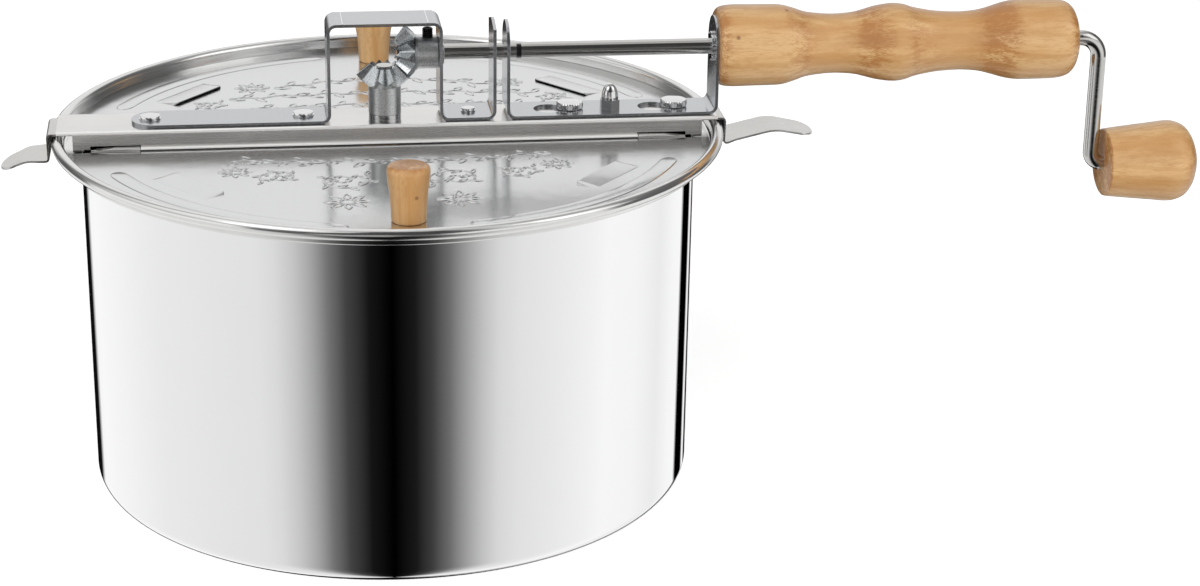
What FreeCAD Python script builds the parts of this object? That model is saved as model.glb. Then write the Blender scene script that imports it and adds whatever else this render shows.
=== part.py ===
"""Stovetop popcorn popper: a steel pot with a split hinged lid, a crossbar that carries a pair
of miter gears, and a hand crank that runs through a turned wooden handle to a stirring wire.

Frame: the origin is the centre of the pot's flat base, +Z is up and +X runs along the crossbar
towards the handle. Lengths are millimetres.
"""
import FreeCAD, Part
import Sketcher
import math
import os
from FreeCAD import Rotation, Vector

doc = FreeCAD.newDocument("StovetopPopper")

# ------------------------------------------------------------------ driving sizes

DRIVING_SIZES = [
    # pot
    ("rim_radius", 122.6, "inner radius of the short wall above the ledge"),
    ("ledge_height", 133.0, "upper face of the ledge that the lids lie on"),
    ("ledge_width", 6.6, "from the wall's outside under the ledge to the short wall"),
    ("pot_taper", 0.4, "how much less the wall's radius is at its foot"),
    ("base_corner", 6.0, "outer radius of the base corner"),
    ("pot_wall", 0.8, "sheet of the pot"),
    ("bead_radius", 2.2, "section radius of the rolled rim"),
    ("bead_rise", 3.8, "centre of the rolled rim above the ledge"),
    # lids
    ("lid_sheet", 0.7, "sheet of the lids"),
    ("lid_seat_gap", 0.3, "air between a lid and the ledge"),
    ("lid_rim_gap", 0.9, "air between a lid's edge and the rim"),
    ("rib_inset", 7.7, "stiffening ribs from the lid's edge"),
    ("rib_width", 9.0, "width of the ribs"),
    ("rib_rise", 1.6, "height of the ribs"),
    ("rib_slope", 1.8, "width of a rib's sloping side"),
    ("rib_corner", 4.0, "corner radius of a rib's ends"),
    ("rib_start", 21.0, "bearing of a rib's hinge end from the crossbar, degrees"),
    ("rib_end", 79.0, "bearing of a rib's other end, degrees"),
    ("louvre_length", 31.0, "length of a steam louvre"),
    ("louvre_depth", 10.0, "width of its hood"),
    ("louvre_rise", 1.9, "height of the hood's open side"),
    ("louvre_slit", 1.4, "width of the slit under the hood"),
    ("louvre_inset", 31.2, "distance of the slit from the lid's edge"),
    ("louvre_angle", 37.5, "bearing of a louvre from the crossbar, degrees"),
    # hinges
    ("wire_radius", 0.95, "hinge wire"),
    ("knuckle_wall", 0.7, "sheet rolled round the hinge wire"),
    ("running_gap", 0.05, "radial clearance of a running fit"),
    ("knuckle_gap", 0.3, "air between neighbouring knuckles and edges"),
    ("knuckle_inset", 29.1, "ends of the crossbar's rolled lips from the rim"),
    ("tongue_length", 18.0, "length of a lid's tapered end knuckle"),
    # crossbar and its clips
    ("bar_width", 24.8, "outside width of the crossbar"),
    ("bar_sheet", 1.0, "sheet of the crossbar"),
    ("flange_inset", 4.1, "flange ends from the rim"),
    ("plate_inset", 0.3, "top plate's ends from the crown of the bead"),
    ("flange_gap", 0.5, "air between the flange ends and the ledge"),
    ("rest_gap", 0.3, "air between the rim and the clip leaf"),
    ("clip_sheet", 0.8, "spring strip of the clips"),
    ("clip_air", 0.9, "air between the spring strip and the crossbar's flanges"),
    ("leaf_tail", 7.0, "spring strip beyond the fastener that holds it"),
    ("clip_side_gap", 0.5, "air between the rim's side and the clip"),
    ("lever_gap", 0.15, "slit at the spring's bend, between leaf and lever"),
    ("lever_dip", 7.2, "lower bend of a lever below the rim's centre"),
    ("lever_tuck", 0.2, "inward lean of a lever down to that bend"),
    ("lever_width", 18.0, "width of the finger lever"),
    ("lever_tip", 12.0, "width of its rounded tip"),
    ("right_lever", 36.0, "reach of the lever at the handle end"),
    ("right_crest", 4.7, "rise of that lever's arched middle above its lower bend"),
    ("right_end", 1.4, "rise of its tip above its lower bend"),
    ("left_lever", 18.0, "reach of the other lever"),
    ("left_crest", 0.3, "fall of the other lever's middle below its lower bend"),
    ("left_end", 4.6, "fall of its tip below its lower bend"),
    # gear bracket and handle bracket
    ("strap_sheet", 1.2, "strap of both brackets"),
    ("strap_width", 19.0, "width of both brackets"),
    ("strap_bend", 3.0, "bend radius on the middle of the strap"),
    ("foot_inset", 27.5, "long foot's end from the top plate's end"),
    ("gear_offset", 1.8, "gears and stirrer shaft from the pot's axis, away from the handle"),
    ("leg_left", 21.9, "outer face of the left leg from the gears' upright axis"),
    ("leg_right", 21.5, "outer face of the right leg from it"),
    ("bridge_rise", 4.45, "upper face of the bridge above the gears' pitch circle"),
    ("short_foot", 20.2, "outer face of the gear bracket's ear beyond the right leg"),
    ("gear_ear_rise", 12.7, "top of that ear above the crank axis"),
    ("ear_crop", 2.1, "fall of that ear's top edge at its sides"),
    ("ear_slant", 8.0, "width of each sloping side of that edge"),
    ("ear_gap", 4.0, "air between the gear bracket and the handle bracket"),
    ("far_ear_proud", 0.6, "far face of the handle bracket beyond the top plate"),
    ("ear_rise", 11.9, "top of the handle bracket's ears above the crank axis"),
    ("foot_rivet", 7.0, "long foot's outer rivet from the foot's end"),
    ("left_leg_rivet", 9.0, "long foot's inner rivet from the left leg"),
    ("right_leg_rivet", 10.2, "short foot's rivet from the right leg"),
    ("rivet_radius", 2.0, "rivet shank"),
    ("rivet_head", 4.0, "rivet head radius on the long foot"),
    ("small_head", 2.8, "rivet head radius on the short foot"),
    ("rivet_rise", 1.5, "rivet head height"),
    ("tail_sheet", 1.2, "lower heads of the rivets and studs, along them"),
    ("near_stud_step", 25.1, "near keyhole stud from the near ear"),
    ("far_stud_step", 15.8, "far keyhole stud from the far ear"),
    ("stud_neck", 2.5, "stud neck radius"),
    ("stud_head", 5.1, "stud head radius"),
    ("stud_rise", 2.6, "stud head height"),
    ("stud_bevel", 0.5, "bevel of the stud heads"),
    ("stud_lift", 0.2, "air between a stud head and the bracket"),
    ("keyhole_shift", 8.4, "slide of the bracket from its keyholes to its studs"),
    ("keyhole_gap", 0.4, "clearance of the stud head in the keyhole"),
    ("lock_screw_step", 15.5, "lock screw from the near stud"),
    ("lock_screw_radius", 2.0, "lock screw thread"),
    ("lock_screw_reach", 5.0, "lock screw above the bracket"),
    ("lock_screw_head", 3.4, "head radius of the lock screw"),
    ("lock_head_sheet", 1.6, "head height of the lock screw"),
    ("acorn_flats", 7.0, "acorn nut across flats"),
    ("acorn_hex", 3.4, "height of the acorn nut's hexagon"),
    ("acorn_rise", 9.4, "full height of the acorn nut"),
    # shafts and gears
    ("axis_rise", 24.6, "crank axis above the crossbar"),
    ("shaft_radius", 3.0, "crank rod, gear shaft and stirrer shaft"),
    ("gear_teeth", 10, "teeth of each miter gear"),
    ("pitch_radius", 9.35, "pitch radius of the gears at the large end"),
    ("face_width", 6.6, "length of the teeth"),
    ("hub_radius", 6.2, "gear hub"),
    ("washer_sheet", 1.5, "washer under the driven gear"),
    ("set_screw_radius", 2.0, "set screw of the drive gear"),
    ("set_screw_proud", 3.4, "set screw above the hub"),
    ("set_screw_inset", 3.6, "set screw's middle from the hub's end"),
    ("socket_radius", 1.0, "socket of the set screw"),
    ("socket_depth", 2.0, "depth of that socket"),
    ("clip_ring_radius", 5.0, "push-on retaining rings"),
    ("clip_ring_sheet", 0.6, "sheet of the retaining rings"),
    ("coupling_step", 4.9, "shoulder of the crank rod beyond the near ear"),
    ("tongue_reach", 6.6, "length of the coupling's flat tongue"),
    ("tongue_sheet", 1.9, "thickness of the tongue"),
    ("coupling_gap", 1.8, "bare tongue between the gear shaft and the shoulder"),
    ("stirrer_foot", 1.6, "lower end of the stirrer shaft above the base"),
    ("stirrer_wire", 1.5, "radius of the stirring wire"),
    ("stirrer_height", 4.4, "middle of the stirring wire"),
    ("stirrer_inset", 12.0, "ends of the stirring wire from the outside of the wall"),
    ("stirrer_rise", 9.0, "height of its turned-up ends"),
    ("stirrer_sweep", 9.0, "offset of the wire's bent arms"),
    ("stirrer_straight", 31.2, "half length of the wire's straight middle"),
    ("stirrer_arm", 18.7, "length of the wire's arms past their last turn"),
    ("stirrer_bend", 8.0, "bend radius of the wire in its plane"),
    ("stirrer_end_bend", 4.0, "bend radius of the turned-up ends"),
    # handle, crank and knobs
    ("tube_radius", 4.1, "sleeve inside the handle"),
    ("flare_radius", 5.7, "peened end of the sleeve"),
    ("flare_sheet", 1.0, "peened end of the sleeve, along it"),
    ("flare_notch", 0.9, "radius of the notches round the peened end"),
    ("handle_length", 141.0, "turned handle"),
    ("handle_radius", 15.5, "handle at its thick ends"),
    ("handle_waist", 11.4, "handle at its two waists"),
    ("handle_swell", 15.0, "handle at its middle swell"),
    ("crank_clear", 11.3, "handle's end to the middle of the crank arm"),
    ("crank_throw", 51.3, "crank axis to knob axis"),
    ("crank_bend", 7.5, "upper bend of the crank"),
    ("pin_bend", 4.6, "lower bend of the crank"),
    ("grip_gap", 0.4, "air between the crank's bend and the knob"),
    ("grip_length", 36.4, "crank knob"),
    ("grip_neck", 13.5, "crank knob at the crank"),
    ("grip_radius", 16.0, "crank knob at its widest"),
    ("grip_recess", 6.0, "depth of the recess in the knob's end"),
    ("pin_proud", 2.0, "crank pin beyond the bottom of that recess"),
    ("knob_inset", 19.7, "middle of a lid knob from the lid's edge"),
    ("knob_foot", 6.2, "lid knob at its base"),
    ("knob_radius", 7.65, "lid knob at its widest"),
    ("knob_height", 20.4, "lid knob"),
    ("knob_screw", 1.6, "screw that holds a lid knob"),
    ("knob_screw_depth", 12.0, "depth of that screw in the knob"),
    ("knob_screw_head", 2.6, "head radius of that screw"),
    ("knob_head_sheet", 1.0, "head height of that screw"),
]


class Size:
    """A size that carries its number and the expression that the document is bound to."""

    def __init__(self, text, number):
        self.text = text
        self.number = float(number)

    def __float__(self):
        return self.number

    def joined(self, sign, other, number):
        return Size(f"({self.text} {sign} {other.text})", number)

    def __add__(self, other):
        other = as_size(other)
        return self.joined("+", other, self.number + other.number)

    def __radd__(self, other):
        return as_size(other) + self

    def __sub__(self, other):
        other = as_size(other)
        return self.joined("-", other, self.number - other.number)

    def __rsub__(self, other):
        return as_size(other) - self

    def __mul__(self, other):
        other = as_size(other)
        return self.joined("*", other, self.number * other.number)

    def __rmul__(self, other):
        return as_size(other) * self

    def __truediv__(self, other):
        other = as_size(other)
        return self.joined("/", other, self.number / other.number)

    def __neg__(self):
        return as_size(0) - self


def as_size(value):
    """Gives a plain number the same form as a size from the sheet."""
    if isinstance(value, Size):
        return value
    return Size(repr(float(value)), value)


sheet = doc.addObject("Spreadsheet::Sheet", "Sizes")
size = {}
for row, (alias, number, note) in enumerate(DRIVING_SIZES, start=1):
    sheet.set(f"A{row}", note)
    sheet.set(f"B{row}", str(number))
    sheet.setAlias(f"B{row}", alias)
    size[alias] = Size(f"Sizes.{alias}", number)
doc.recompute()

# ------------------------------------------------------------------ places worked out from them

pot_radius = size["rim_radius"] - size["ledge_width"]
base_radius = pot_radius - size["pot_taper"]
bead_ring = size["rim_radius"] + size["bead_radius"]
bead_side = bead_ring + size["bead_radius"]
bead_height = size["ledge_height"] + size["bead_rise"]
leaf_foot = bead_height + size["bead_radius"] + size["rest_gap"]
plate_foot = leaf_foot + size["clip_sheet"]
bar_top = plate_foot + size["bar_sheet"]
strap_top = bar_top + size["strap_sheet"]
bar_side = size["bar_width"] / 2
bar_end = bead_ring - size["plate_inset"]
clip_half = bar_side - size["bar_sheet"] - size["clip_air"]
flange_half = size["rim_radius"] - size["flange_inset"]
flange_foot = size["ledge_height"] + size["flange_gap"]

lid_radius = size["rim_radius"] - size["lid_rim_gap"]
lid_foot = size["ledge_height"] + size["lid_seat_gap"]
lid_top = lid_foot + size["lid_sheet"]
rib_outer = lid_radius - size["rib_inset"]
rib_inner = rib_outer - size["rib_width"]
louvre_radius = lid_radius - size["louvre_inset"]
knob_place = lid_radius - size["knob_inset"]

wire_bore = size["wire_radius"] + size["running_gap"]
knuckle_radius = wire_bore + size["knuckle_wall"]
hinge_side = bar_side - size["bar_sheet"] + knuckle_radius
hinge_height = lid_foot + size["lid_sheet"] / 2
knuckle_half = size["rim_radius"] - size["knuckle_inset"]
tongue_start = knuckle_half + size["knuckle_gap"]
tongue_end = tongue_start + size["tongue_length"]

axis_height = bar_top + size["axis_rise"]
bridge_top = axis_height + size["pitch_radius"] + size["bridge_rise"]
axis_place = -size["gear_offset"]
leg_right = axis_place + size["leg_right"]
gear_ear = leg_right + size["short_foot"]
gear_ear_top = axis_height + size["gear_ear_rise"]
near_ear = gear_ear + size["ear_gap"]
far_ear = bar_end + size["far_ear_proud"]
ear_top = axis_height + size["ear_rise"]
strap_left = bar_end - size["foot_inset"]
rivet_one = strap_left - size["foot_rivet"]
rivet_two = size["gear_offset"] + size["leg_left"] + size["left_leg_rivet"]
rivet_three = leg_right + size["right_leg_rivet"]
stud_one = near_ear + size["near_stud_step"]
stud_two = far_ear - size["far_stud_step"]
lock_screw_place = stud_one + size["lock_screw_step"]

shaft_bore = size["shaft_radius"] + size["running_gap"]
coupling_place = near_ear + size["strap_sheet"] + size["coupling_step"]
stirrer_reach = pot_radius - size["stirrer_inset"]
stirrer_elbow = stirrer_reach - size["stirrer_arm"]
handle_end = far_ear + size["handle_length"]
arm_place = handle_end + size["crank_clear"]
grip_height = axis_height - size["crank_throw"]
grip_start = arm_place + size["pin_bend"] + size["grip_gap"]
grip_end = grip_start + size["grip_length"]

# ------------------------------------------------------------------ helpers

OVERRUN = 1.0  # how far a cutting solid runs past what it cuts
pieces = []


def finish_piece(feature, label):
    """Names a finished piece and lists it for export."""
    feature.Label = label
    pieces.append(feature)
    return feature


def bind(feature, name, value):
    """Binds a property to the sheet, or sets it where it is a plain number."""
    if isinstance(value, Size):
        feature.setExpression(name, value.text)
    else:
        setattr(feature, name, value)


def new_body(label):
    """Starts a body that will be one piece."""
    body = doc.addObject("PartDesign::Body", label)
    return finish_piece(body, label)


def new_sketch(body, name, role, offset=0.0):
    """Puts a sketch on one of the body's own origin planes, moved along its normal."""
    plane = next(item for item in body.Origin.OriginFeatures if item.Role == role)
    sketch = body.newObject("Sketcher::SketchObject", name)
    sketch.AttachmentSupport = [(plane, "")]
    sketch.MapMode = "FlatFace"
    if isinstance(offset, Size):
        sketch.setExpression(".AttachmentOffset.Base.z", offset.text)
    return sketch


def hold_point(sketch, geometry, corner, x, y):
    """Holds one point of a sketch at bound distances from the sketch's origin."""
    for kind, axis, value in (("DistanceX", -2, x), ("DistanceY", -1, y)):
        if float(value) == 0.0:
            sketch.addConstraint(Sketcher.Constraint("PointOnObject", geometry, corner, axis))
            continue
        constraint = Sketcher.Constraint(kind, -1, 1, geometry, corner, float(value))
        index = sketch.addConstraint(constraint)
        if isinstance(value, Size):
            sketch.setExpression(f"Constraints[{index}]", value.text)


def draw_polygon(sketch, points):
    """Draws a closed polygon whose corners are each held by bound distances."""
    first = sketch.GeometryCount
    count = len(points)
    corners = [Vector(float(x), float(y), 0) for x, y in points]
    for index in range(count):
        sketch.addGeometry(Part.LineSegment(corners[index], corners[(index + 1) % count]), False)
    for index in range(count):
        following = first + (index + 1) % count
        sketch.addConstraint(Sketcher.Constraint("Coincident", first + index, 2, following, 1))
    for index, (x, y) in enumerate(points):
        hold_point(sketch, first + index, 1, x, y)


def draw_rectangle(sketch, x_low, y_low, x_high, y_high):
    """Draws a rectangle between two bound corners."""
    draw_polygon(sketch, [(x_low, y_low), (x_high, y_low), (x_high, y_high), (x_low, y_high)])


def draw_circle(sketch, x, y, radius):
    """Draws a circle with a bound centre and a bound radius."""
    centre = Vector(float(x), float(y), 0)
    circle = Part.Circle(centre, Vector(0, 0, 1), float(radius))
    geometry = sketch.addGeometry(circle, False)
    hold_point(sketch, geometry, 3, x, y)
    index = sketch.addConstraint(Sketcher.Constraint("Radius", geometry, float(radius)))
    if isinstance(radius, Size):
        sketch.setExpression(f"Constraints[{index}]", radius.text)


def pad(body, name, sketch, length):
    """Extrudes a sketch along its normal."""
    feature = body.newObject("PartDesign::Pad", name)
    feature.Profile = sketch
    bind(feature, "Length", length)
    sketch.Visibility = False
    return feature


def pocket(body, name, sketch, length):
    """Cuts a sketch into the body against its normal."""
    feature = body.newObject("PartDesign::Pocket", name)
    feature.Profile = sketch
    bind(feature, "Length", length)
    sketch.Visibility = False
    return feature


def revolve(body, name, sketch):
    """Turns a sketch on the XZ plane round the vertical axis."""
    feature = body.newObject("PartDesign::Revolution", name)
    feature.Profile = sketch
    feature.ReferenceAxis = (sketch, ["V_Axis"])
    feature.Angle = 360.0
    sketch.Visibility = False
    return feature


def round_edges(body, name, base, radius, test):
    """Rounds the edges of a feature that pass a test."""
    doc.recompute()
    names = [f"Edge{index}" for index, edge in enumerate(base.Shape.Edges, 1) if test(edge)]
    feature = body.newObject("PartDesign::Fillet", name)
    feature.Base = (base, names)
    bind(feature, "Radius", radius)
    return feature


def is_ring(edge, radius, height):
    """Says whether an edge is a level circle of this radius at this height."""
    if not isinstance(edge.Curve, Part.Circle):
        return False
    level = abs(edge.Curve.Center.z - float(height)) < 1e-4
    return level and abs(edge.Curve.Radius - float(radius)) < 1e-4


def cylinder(name, radius, height, place, axis=Vector(0, 0, 1)):
    """Makes a Part cylinder whose size and base centre are bound to the sheet."""
    feature = doc.addObject("Part::Cylinder", name)
    bind(feature, "Radius", radius)
    bind(feature, "Height", height)
    set_place(feature, place)
    feature.Placement.Rotation = Rotation(Vector(0, 0, 1), axis)
    return feature


def box(name, lengths, place):
    """Makes a Part box whose size and low corner are bound to the sheet."""
    feature = doc.addObject("Part::Box", name)
    for side, value in zip(("Length", "Width", "Height"), lengths):
        bind(feature, side, value)
    set_place(feature, place)
    return feature


def set_place(feature, place):
    """Binds the three coordinates of a feature's placement."""
    for letter, value in zip("xyz", place):
        feature.setExpression(f".Placement.Base.{letter}", as_size(value).text)


def fuse(name, *features):
    """Joins features into one piece."""
    result = doc.addObject("Part::MultiFuse", name)
    result.Shapes = list(features)
    return result


def cut(name, base, *tools):
    """Takes the tools away from the base."""
    result = doc.addObject("Part::Cut", name)
    result.Base = base
    result.Tool = tools[0] if len(tools) == 1 else fuse(name + "Tools", *tools)
    return result


def shape_piece(label, shape):
    """Adds a piece whose shape is worked out here."""
    feature = doc.addObject("Part::Feature", label)
    feature.Shape = shape
    return finish_piece(feature, label)


def point(x, y, z):
    """Makes a vector from sizes or numbers."""
    return Vector(float(x), float(y), float(z))


def rounded_path(corners, radii):
    """Joins straight runs with tangent arcs, one radius for each inner corner."""
    edges = []
    start = corners[0]
    for index in range(1, len(corners) - 1):
        corner = corners[index]
        towards = (corners[index - 1] - corner).normalize()
        onwards = (corners[index + 1] - corner).normalize()
        half = towards.getAngle(onwards) / 2
        radius = float(radii[index - 1])
        reach = radius / math.tan(half)
        entry = corner + towards * reach
        leave = corner + onwards * reach
        bisector = (towards + onwards).normalize()
        middle = corner + bisector * (radius / math.sin(half) - radius)
        edges.append(Part.LineSegment(start, entry).toShape())
        edges.append(Part.Arc(entry, middle, leave).toShape())
        start = leave
    edges.append(Part.LineSegment(start, corners[-1]).toShape())
    return Part.Wire(edges)


def round_bar(corners, radii, radius):
    """Sweeps a round section along a path with rounded corners."""
    path = rounded_path(corners, radii)
    section = Part.Wire(Part.Circle(corners[0], corners[1] - corners[0], float(radius)).toShape())
    return path.makePipeShell([section], True, False)


def bent_strip(corners, radii, thickness, width):
    """Sweeps a flat strip, as wide as width along Y, along a path in an XZ plane."""
    path = rounded_path(corners, radii)
    along = (corners[1] - corners[0]).normalize()
    across = along.cross(Vector(0, 1, 0)) * (float(thickness) / 2)
    side = Vector(0, float(width) / 2, 0)
    start = corners[0]
    section = Part.makePolygon([start + across + side, start + across - side,
                                start - across - side, start - across + side,
                                start + across + side])
    return path.makePipeShell([section], True, False)


def turned(stations, axis_point, axis):
    """Turns a smooth side line, given as (distance along the axis, radius), into a solid."""
    across = Vector(0, 1, 0)
    side_points = [axis_point + axis * along + across * radius for along, radius in stations]
    side = Part.BSplineCurve()
    side.interpolate(side_points)
    start = axis_point + axis * stations[0][0]
    end = axis_point + axis * stations[-1][0]
    edges = [Part.LineSegment(start, side_points[0]).toShape(), side.toShape(),
             Part.LineSegment(side_points[-1], end).toShape(),
             Part.LineSegment(end, start).toShape()]
    return Part.Face(Part.Wire(edges)).revolve(axis_point, axis, 360)


def rod_solid(radius, start, end):
    """Makes a plain round solid between two points."""
    return Part.makeCylinder(float(radius), (end - start).Length, start, end - start)

# ------------------------------------------------------------------ pot


def make_pot():
    """One drawn shell: floor, wall, outward ledge, short rim wall and rolled bead."""
    body = new_body("pot")
    profile = new_sketch(body, "PotProfile", "XZ_Plane")
    wall = size["pot_wall"]
    ledge = size["ledge_height"]
    ledge_under = ledge - wall
    rim_outside = size["rim_radius"] + wall
    draw_polygon(profile, [
        (0, 0), (base_radius, 0), (pot_radius, ledge_under - wall),
        (pot_radius + wall, ledge_under), (rim_outside, ledge_under),
        (rim_outside, bead_height), (size["rim_radius"], bead_height),
        (size["rim_radius"], ledge), (pot_radius, ledge),
        (pot_radius - wall, ledge_under - wall), (base_radius - wall, wall),
        (0, wall)])
    shell = revolve(body, "PotShell", profile)
    outer = base_radius
    outside = round_edges(body, "BaseCorner", shell, size["base_corner"],
                          lambda edge: is_ring(edge, outer, 0))
    inner = outer - wall
    round_edges(body, "FloorCorner", outside, size["base_corner"] - wall,
                lambda edge: is_ring(edge, inner, wall))
    roll = new_sketch(body, "BeadSection", "XZ_Plane")
    draw_circle(roll, bead_ring, bead_height, size["bead_radius"])
    revolve(body, "Bead", roll)


# ------------------------------------------------------------------ crossbar and hinges


def make_crossbar():
    """Inverted channel with rolled lips that carry the hinge wires."""
    body = new_body("crossbar")
    sheet_size = size["bar_sheet"]
    inner = bar_side - sheet_size
    length = knuckle_half * 2

    channel = new_sketch(body, "ChannelSection", "YZ_Plane", -flange_half)
    foot = flange_foot
    draw_polygon(channel, [
        (-bar_side, foot), (-inner, foot), (-inner, plate_foot), (inner, plate_foot),
        (inner, foot), (bar_side, foot), (bar_side, bar_top), (-bar_side, bar_top)])
    pad(body, "Channel", channel, flange_half * 2)

    plate = new_sketch(body, "PlateSection", "YZ_Plane", -bar_end)
    draw_rectangle(plate, -bar_side, plate_foot, bar_side, bar_top)
    pad(body, "Plate", plate, bar_end * 2)

    notch_top = hinge_height + knuckle_radius + size["knuckle_gap"]
    notches = new_sketch(body, "NotchOutlines", "XZ_Plane", -bar_side)
    notch_start = knuckle_half
    notch_end = tongue_end + size["knuckle_gap"]
    under = foot - OVERRUN
    draw_rectangle(notches, notch_start, under, notch_end, notch_top)
    draw_rectangle(notches, -notch_end, under, -notch_start, notch_top)
    draw_rectangle(notches, -notch_start, under, notch_start, hinge_height)
    cut_notches = pocket(body, "Notches", notches, size["bar_width"])
    cut_notches.Reversed = True

    for name, side in (("Front", -1), ("Rear", 1)):
        lip = new_sketch(body, f"{name}LipSection", "YZ_Plane", -knuckle_half)
        draw_circle(lip, hinge_side * side, hinge_height, knuckle_radius)
        pad(body, f"{name}Lip", lip, length)
    bores = new_sketch(body, "WireBores", "YZ_Plane", -bar_end)
    for side in (-1, 1):
        draw_circle(bores, hinge_side * side, hinge_height, wire_bore)
    cut_bores = pocket(body, "WireHoles", bores, bar_end * 2)
    cut_bores.Reversed = True

    holes = new_sketch(body, "TopHoles", "XY_Plane", bar_top)
    draw_circle(holes, axis_place, 0, shaft_bore)
    for place in (-rivet_one, -rivet_two, rivet_three):
        draw_circle(holes, place, 0, size["rivet_radius"])
    for place in (stud_one, stud_two):
        draw_circle(holes, place, 0, size["rivet_radius"])
    draw_circle(holes, lock_screw_place, 0, size["lock_screw_radius"])
    pocket(body, "FastenerHoles", holes, size["bar_sheet"])


def make_hinge_wires():
    """Two straight wires, each the pivot of one lid."""
    for label, side in (("hinge_wire_front", -1), ("hinge_wire_rear", 1)):
        place = (-tongue_end, hinge_side * side, hinge_height)
        wire = cylinder(label, size["wire_radius"], tongue_end * 2, place, Vector(1, 0, 0))
        finish_piece(wire, label)


# ------------------------------------------------------------------ lids


def half_disc(radius, chord, height):
    """Level face: an arc about the pot's axis closed by a straight hinge side."""
    half = math.sqrt(radius ** 2 - chord ** 2)
    left = Vector(-half, chord, height)
    right = Vector(half, chord, height)
    bow = Part.Arc(right, Vector(0, radius, height), left).toShape()
    return Part.Face(Part.Wire([bow, Part.LineSegment(left, right).toShape()]))


def arc_band(inner, outer, start, end, height):
    """Level face between two arcs about the pot's axis and two bearings."""
    def spot(radius, bearing):
        turn = math.radians(bearing)
        return Vector(radius * math.cos(turn), radius * math.sin(turn), height)
    middle = (start + end) / 2
    edges = [Part.Arc(spot(outer, start), spot(outer, middle), spot(outer, end)).toShape(),
             Part.LineSegment(spot(outer, end), spot(inner, end)).toShape(),
             Part.Arc(spot(inner, end), spot(inner, middle), spot(inner, start)).toShape(),
             Part.LineSegment(spot(inner, start), spot(outer, start)).toShape()]
    return Part.Face(Part.Wire(edges))


def rib_solid():
    """Raised arc-shaped rib with rounded ends and sloping sides."""
    corner = float(size["rib_corner"])
    inner = float(rib_inner) + corner
    outer = float(rib_outer) - corner
    inset = math.degrees(corner / outer)
    start = float(size["rib_start"]) + inset
    end = float(size["rib_end"]) - inset
    core = arc_band(inner, outer, start, end, float(lid_top))
    low = core.makeOffset2D(corner).OuterWire
    high = core.makeOffset2D(corner - float(size["rib_slope"])).OuterWire
    high.translate(Vector(0, 0, float(size["rib_rise"])))
    return Part.makeLoft([low, high], True, True)


def louvre_parts(bearing):
    """Gives the slit to cut, the hood to add and the hollow under the hood of one louvre."""
    length = float(size["louvre_length"])
    thick = float(size["lid_sheet"])
    start = float(louvre_radius)
    end = start + float(size["louvre_depth"])
    top = float(lid_top)
    roof = top + float(size["louvre_rise"])

    def wedge(near, far, low, high, wide):
        profile = [Vector(near, 0, low), Vector(near, 0, high), Vector(far, 0, low)]
        face = Part.Face(Part.makePolygon(profile + profile[:1]))
        solid = face.extrude(Vector(0, wide, 0))
        solid.translate(Vector(0, -wide / 2, 0))
        return solid

    hood = wedge(start, end, top - thick / 2, roof, length)
    hollow = wedge(start - OVERRUN, end - 2 * thick, top - thick / 2, roof - thick,
                   length - 2 * thick)
    slit = Part.makeBox(float(size["louvre_slit"]), length - 2 * thick, thick * 3,
                        Vector(start, -length / 2 + thick, top - thick * 2))
    for solid in (slit, hood, hollow):
        solid.rotate(Vector(0, 0, 0), Vector(0, 0, 1), bearing)
    return slit, hood, hollow


def lid_shape():
    """Rear lid half: flat sheet, two ribs, two louvres and two end knuckles."""
    edge = float(hinge_side + knuckle_radius + size["knuckle_gap"])
    thick = float(size["lid_sheet"])
    foot = float(lid_foot)
    shell = half_disc(float(lid_radius), edge, foot).extrude(Vector(0, 0, thick))

    rib = rib_solid()
    mirrored = rib.mirror(Vector(0, 0, 0), Vector(1, 0, 0))
    for raised in (rib, mirrored):
        under = raised.copy()
        under.translate(Vector(0, 0, -thick))
        shell = shell.fuse(raised).cut(under)

    angle = float(size["louvre_angle"])
    for bearing in (angle, 180 - angle):
        slit, hood, hollow = louvre_parts(bearing)
        shell = shell.fuse(hood).cut(hollow).cut(slit)

    # end knuckles: rolled tongues that taper away from the middle of the hinge
    side = float(hinge_side)
    height = float(hinge_height)
    start = float(tongue_start)
    end = float(tongue_end)
    beyond = end + OVERRUN
    radius = float(knuckle_radius)
    before = side - radius - OVERRUN
    taper_low = height + float(size["wire_radius"]) / 2
    inside = side + float(wire_bore)
    for way in (-1, 1):
        base = Vector(way * start, side, height)
        tip = Vector(way * end, side, height)
        roll = rod_solid(radius, base, tip)
        strap = Part.makeBox(end - start, edge + thick - inside, thick,
                             Vector(min(way * start, way * end), inside, foot))
        taper = [Vector(way * (start + end) / 2, before, height + radius),
                 Vector(way * beyond, before, height + radius + OVERRUN),
                 Vector(way * beyond, before, taper_low)]
        wedge = Part.Face(Part.makePolygon(taper + taper[:1]))
        wedge = wedge.extrude(Vector(0, 2 * (radius + OVERRUN), 0))
        shell = shell.fuse(roll.cut(wedge)).fuse(strap)
    bore = rod_solid(wire_bore, Vector(-beyond, side, height), Vector(beyond, side, height))
    screw = rod_solid(size["knob_screw"], point(0, knob_place, lid_foot),
                      point(0, knob_place, lid_top + OVERRUN))
    return shell.cut(bore).cut(screw).removeSplitter()


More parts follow.
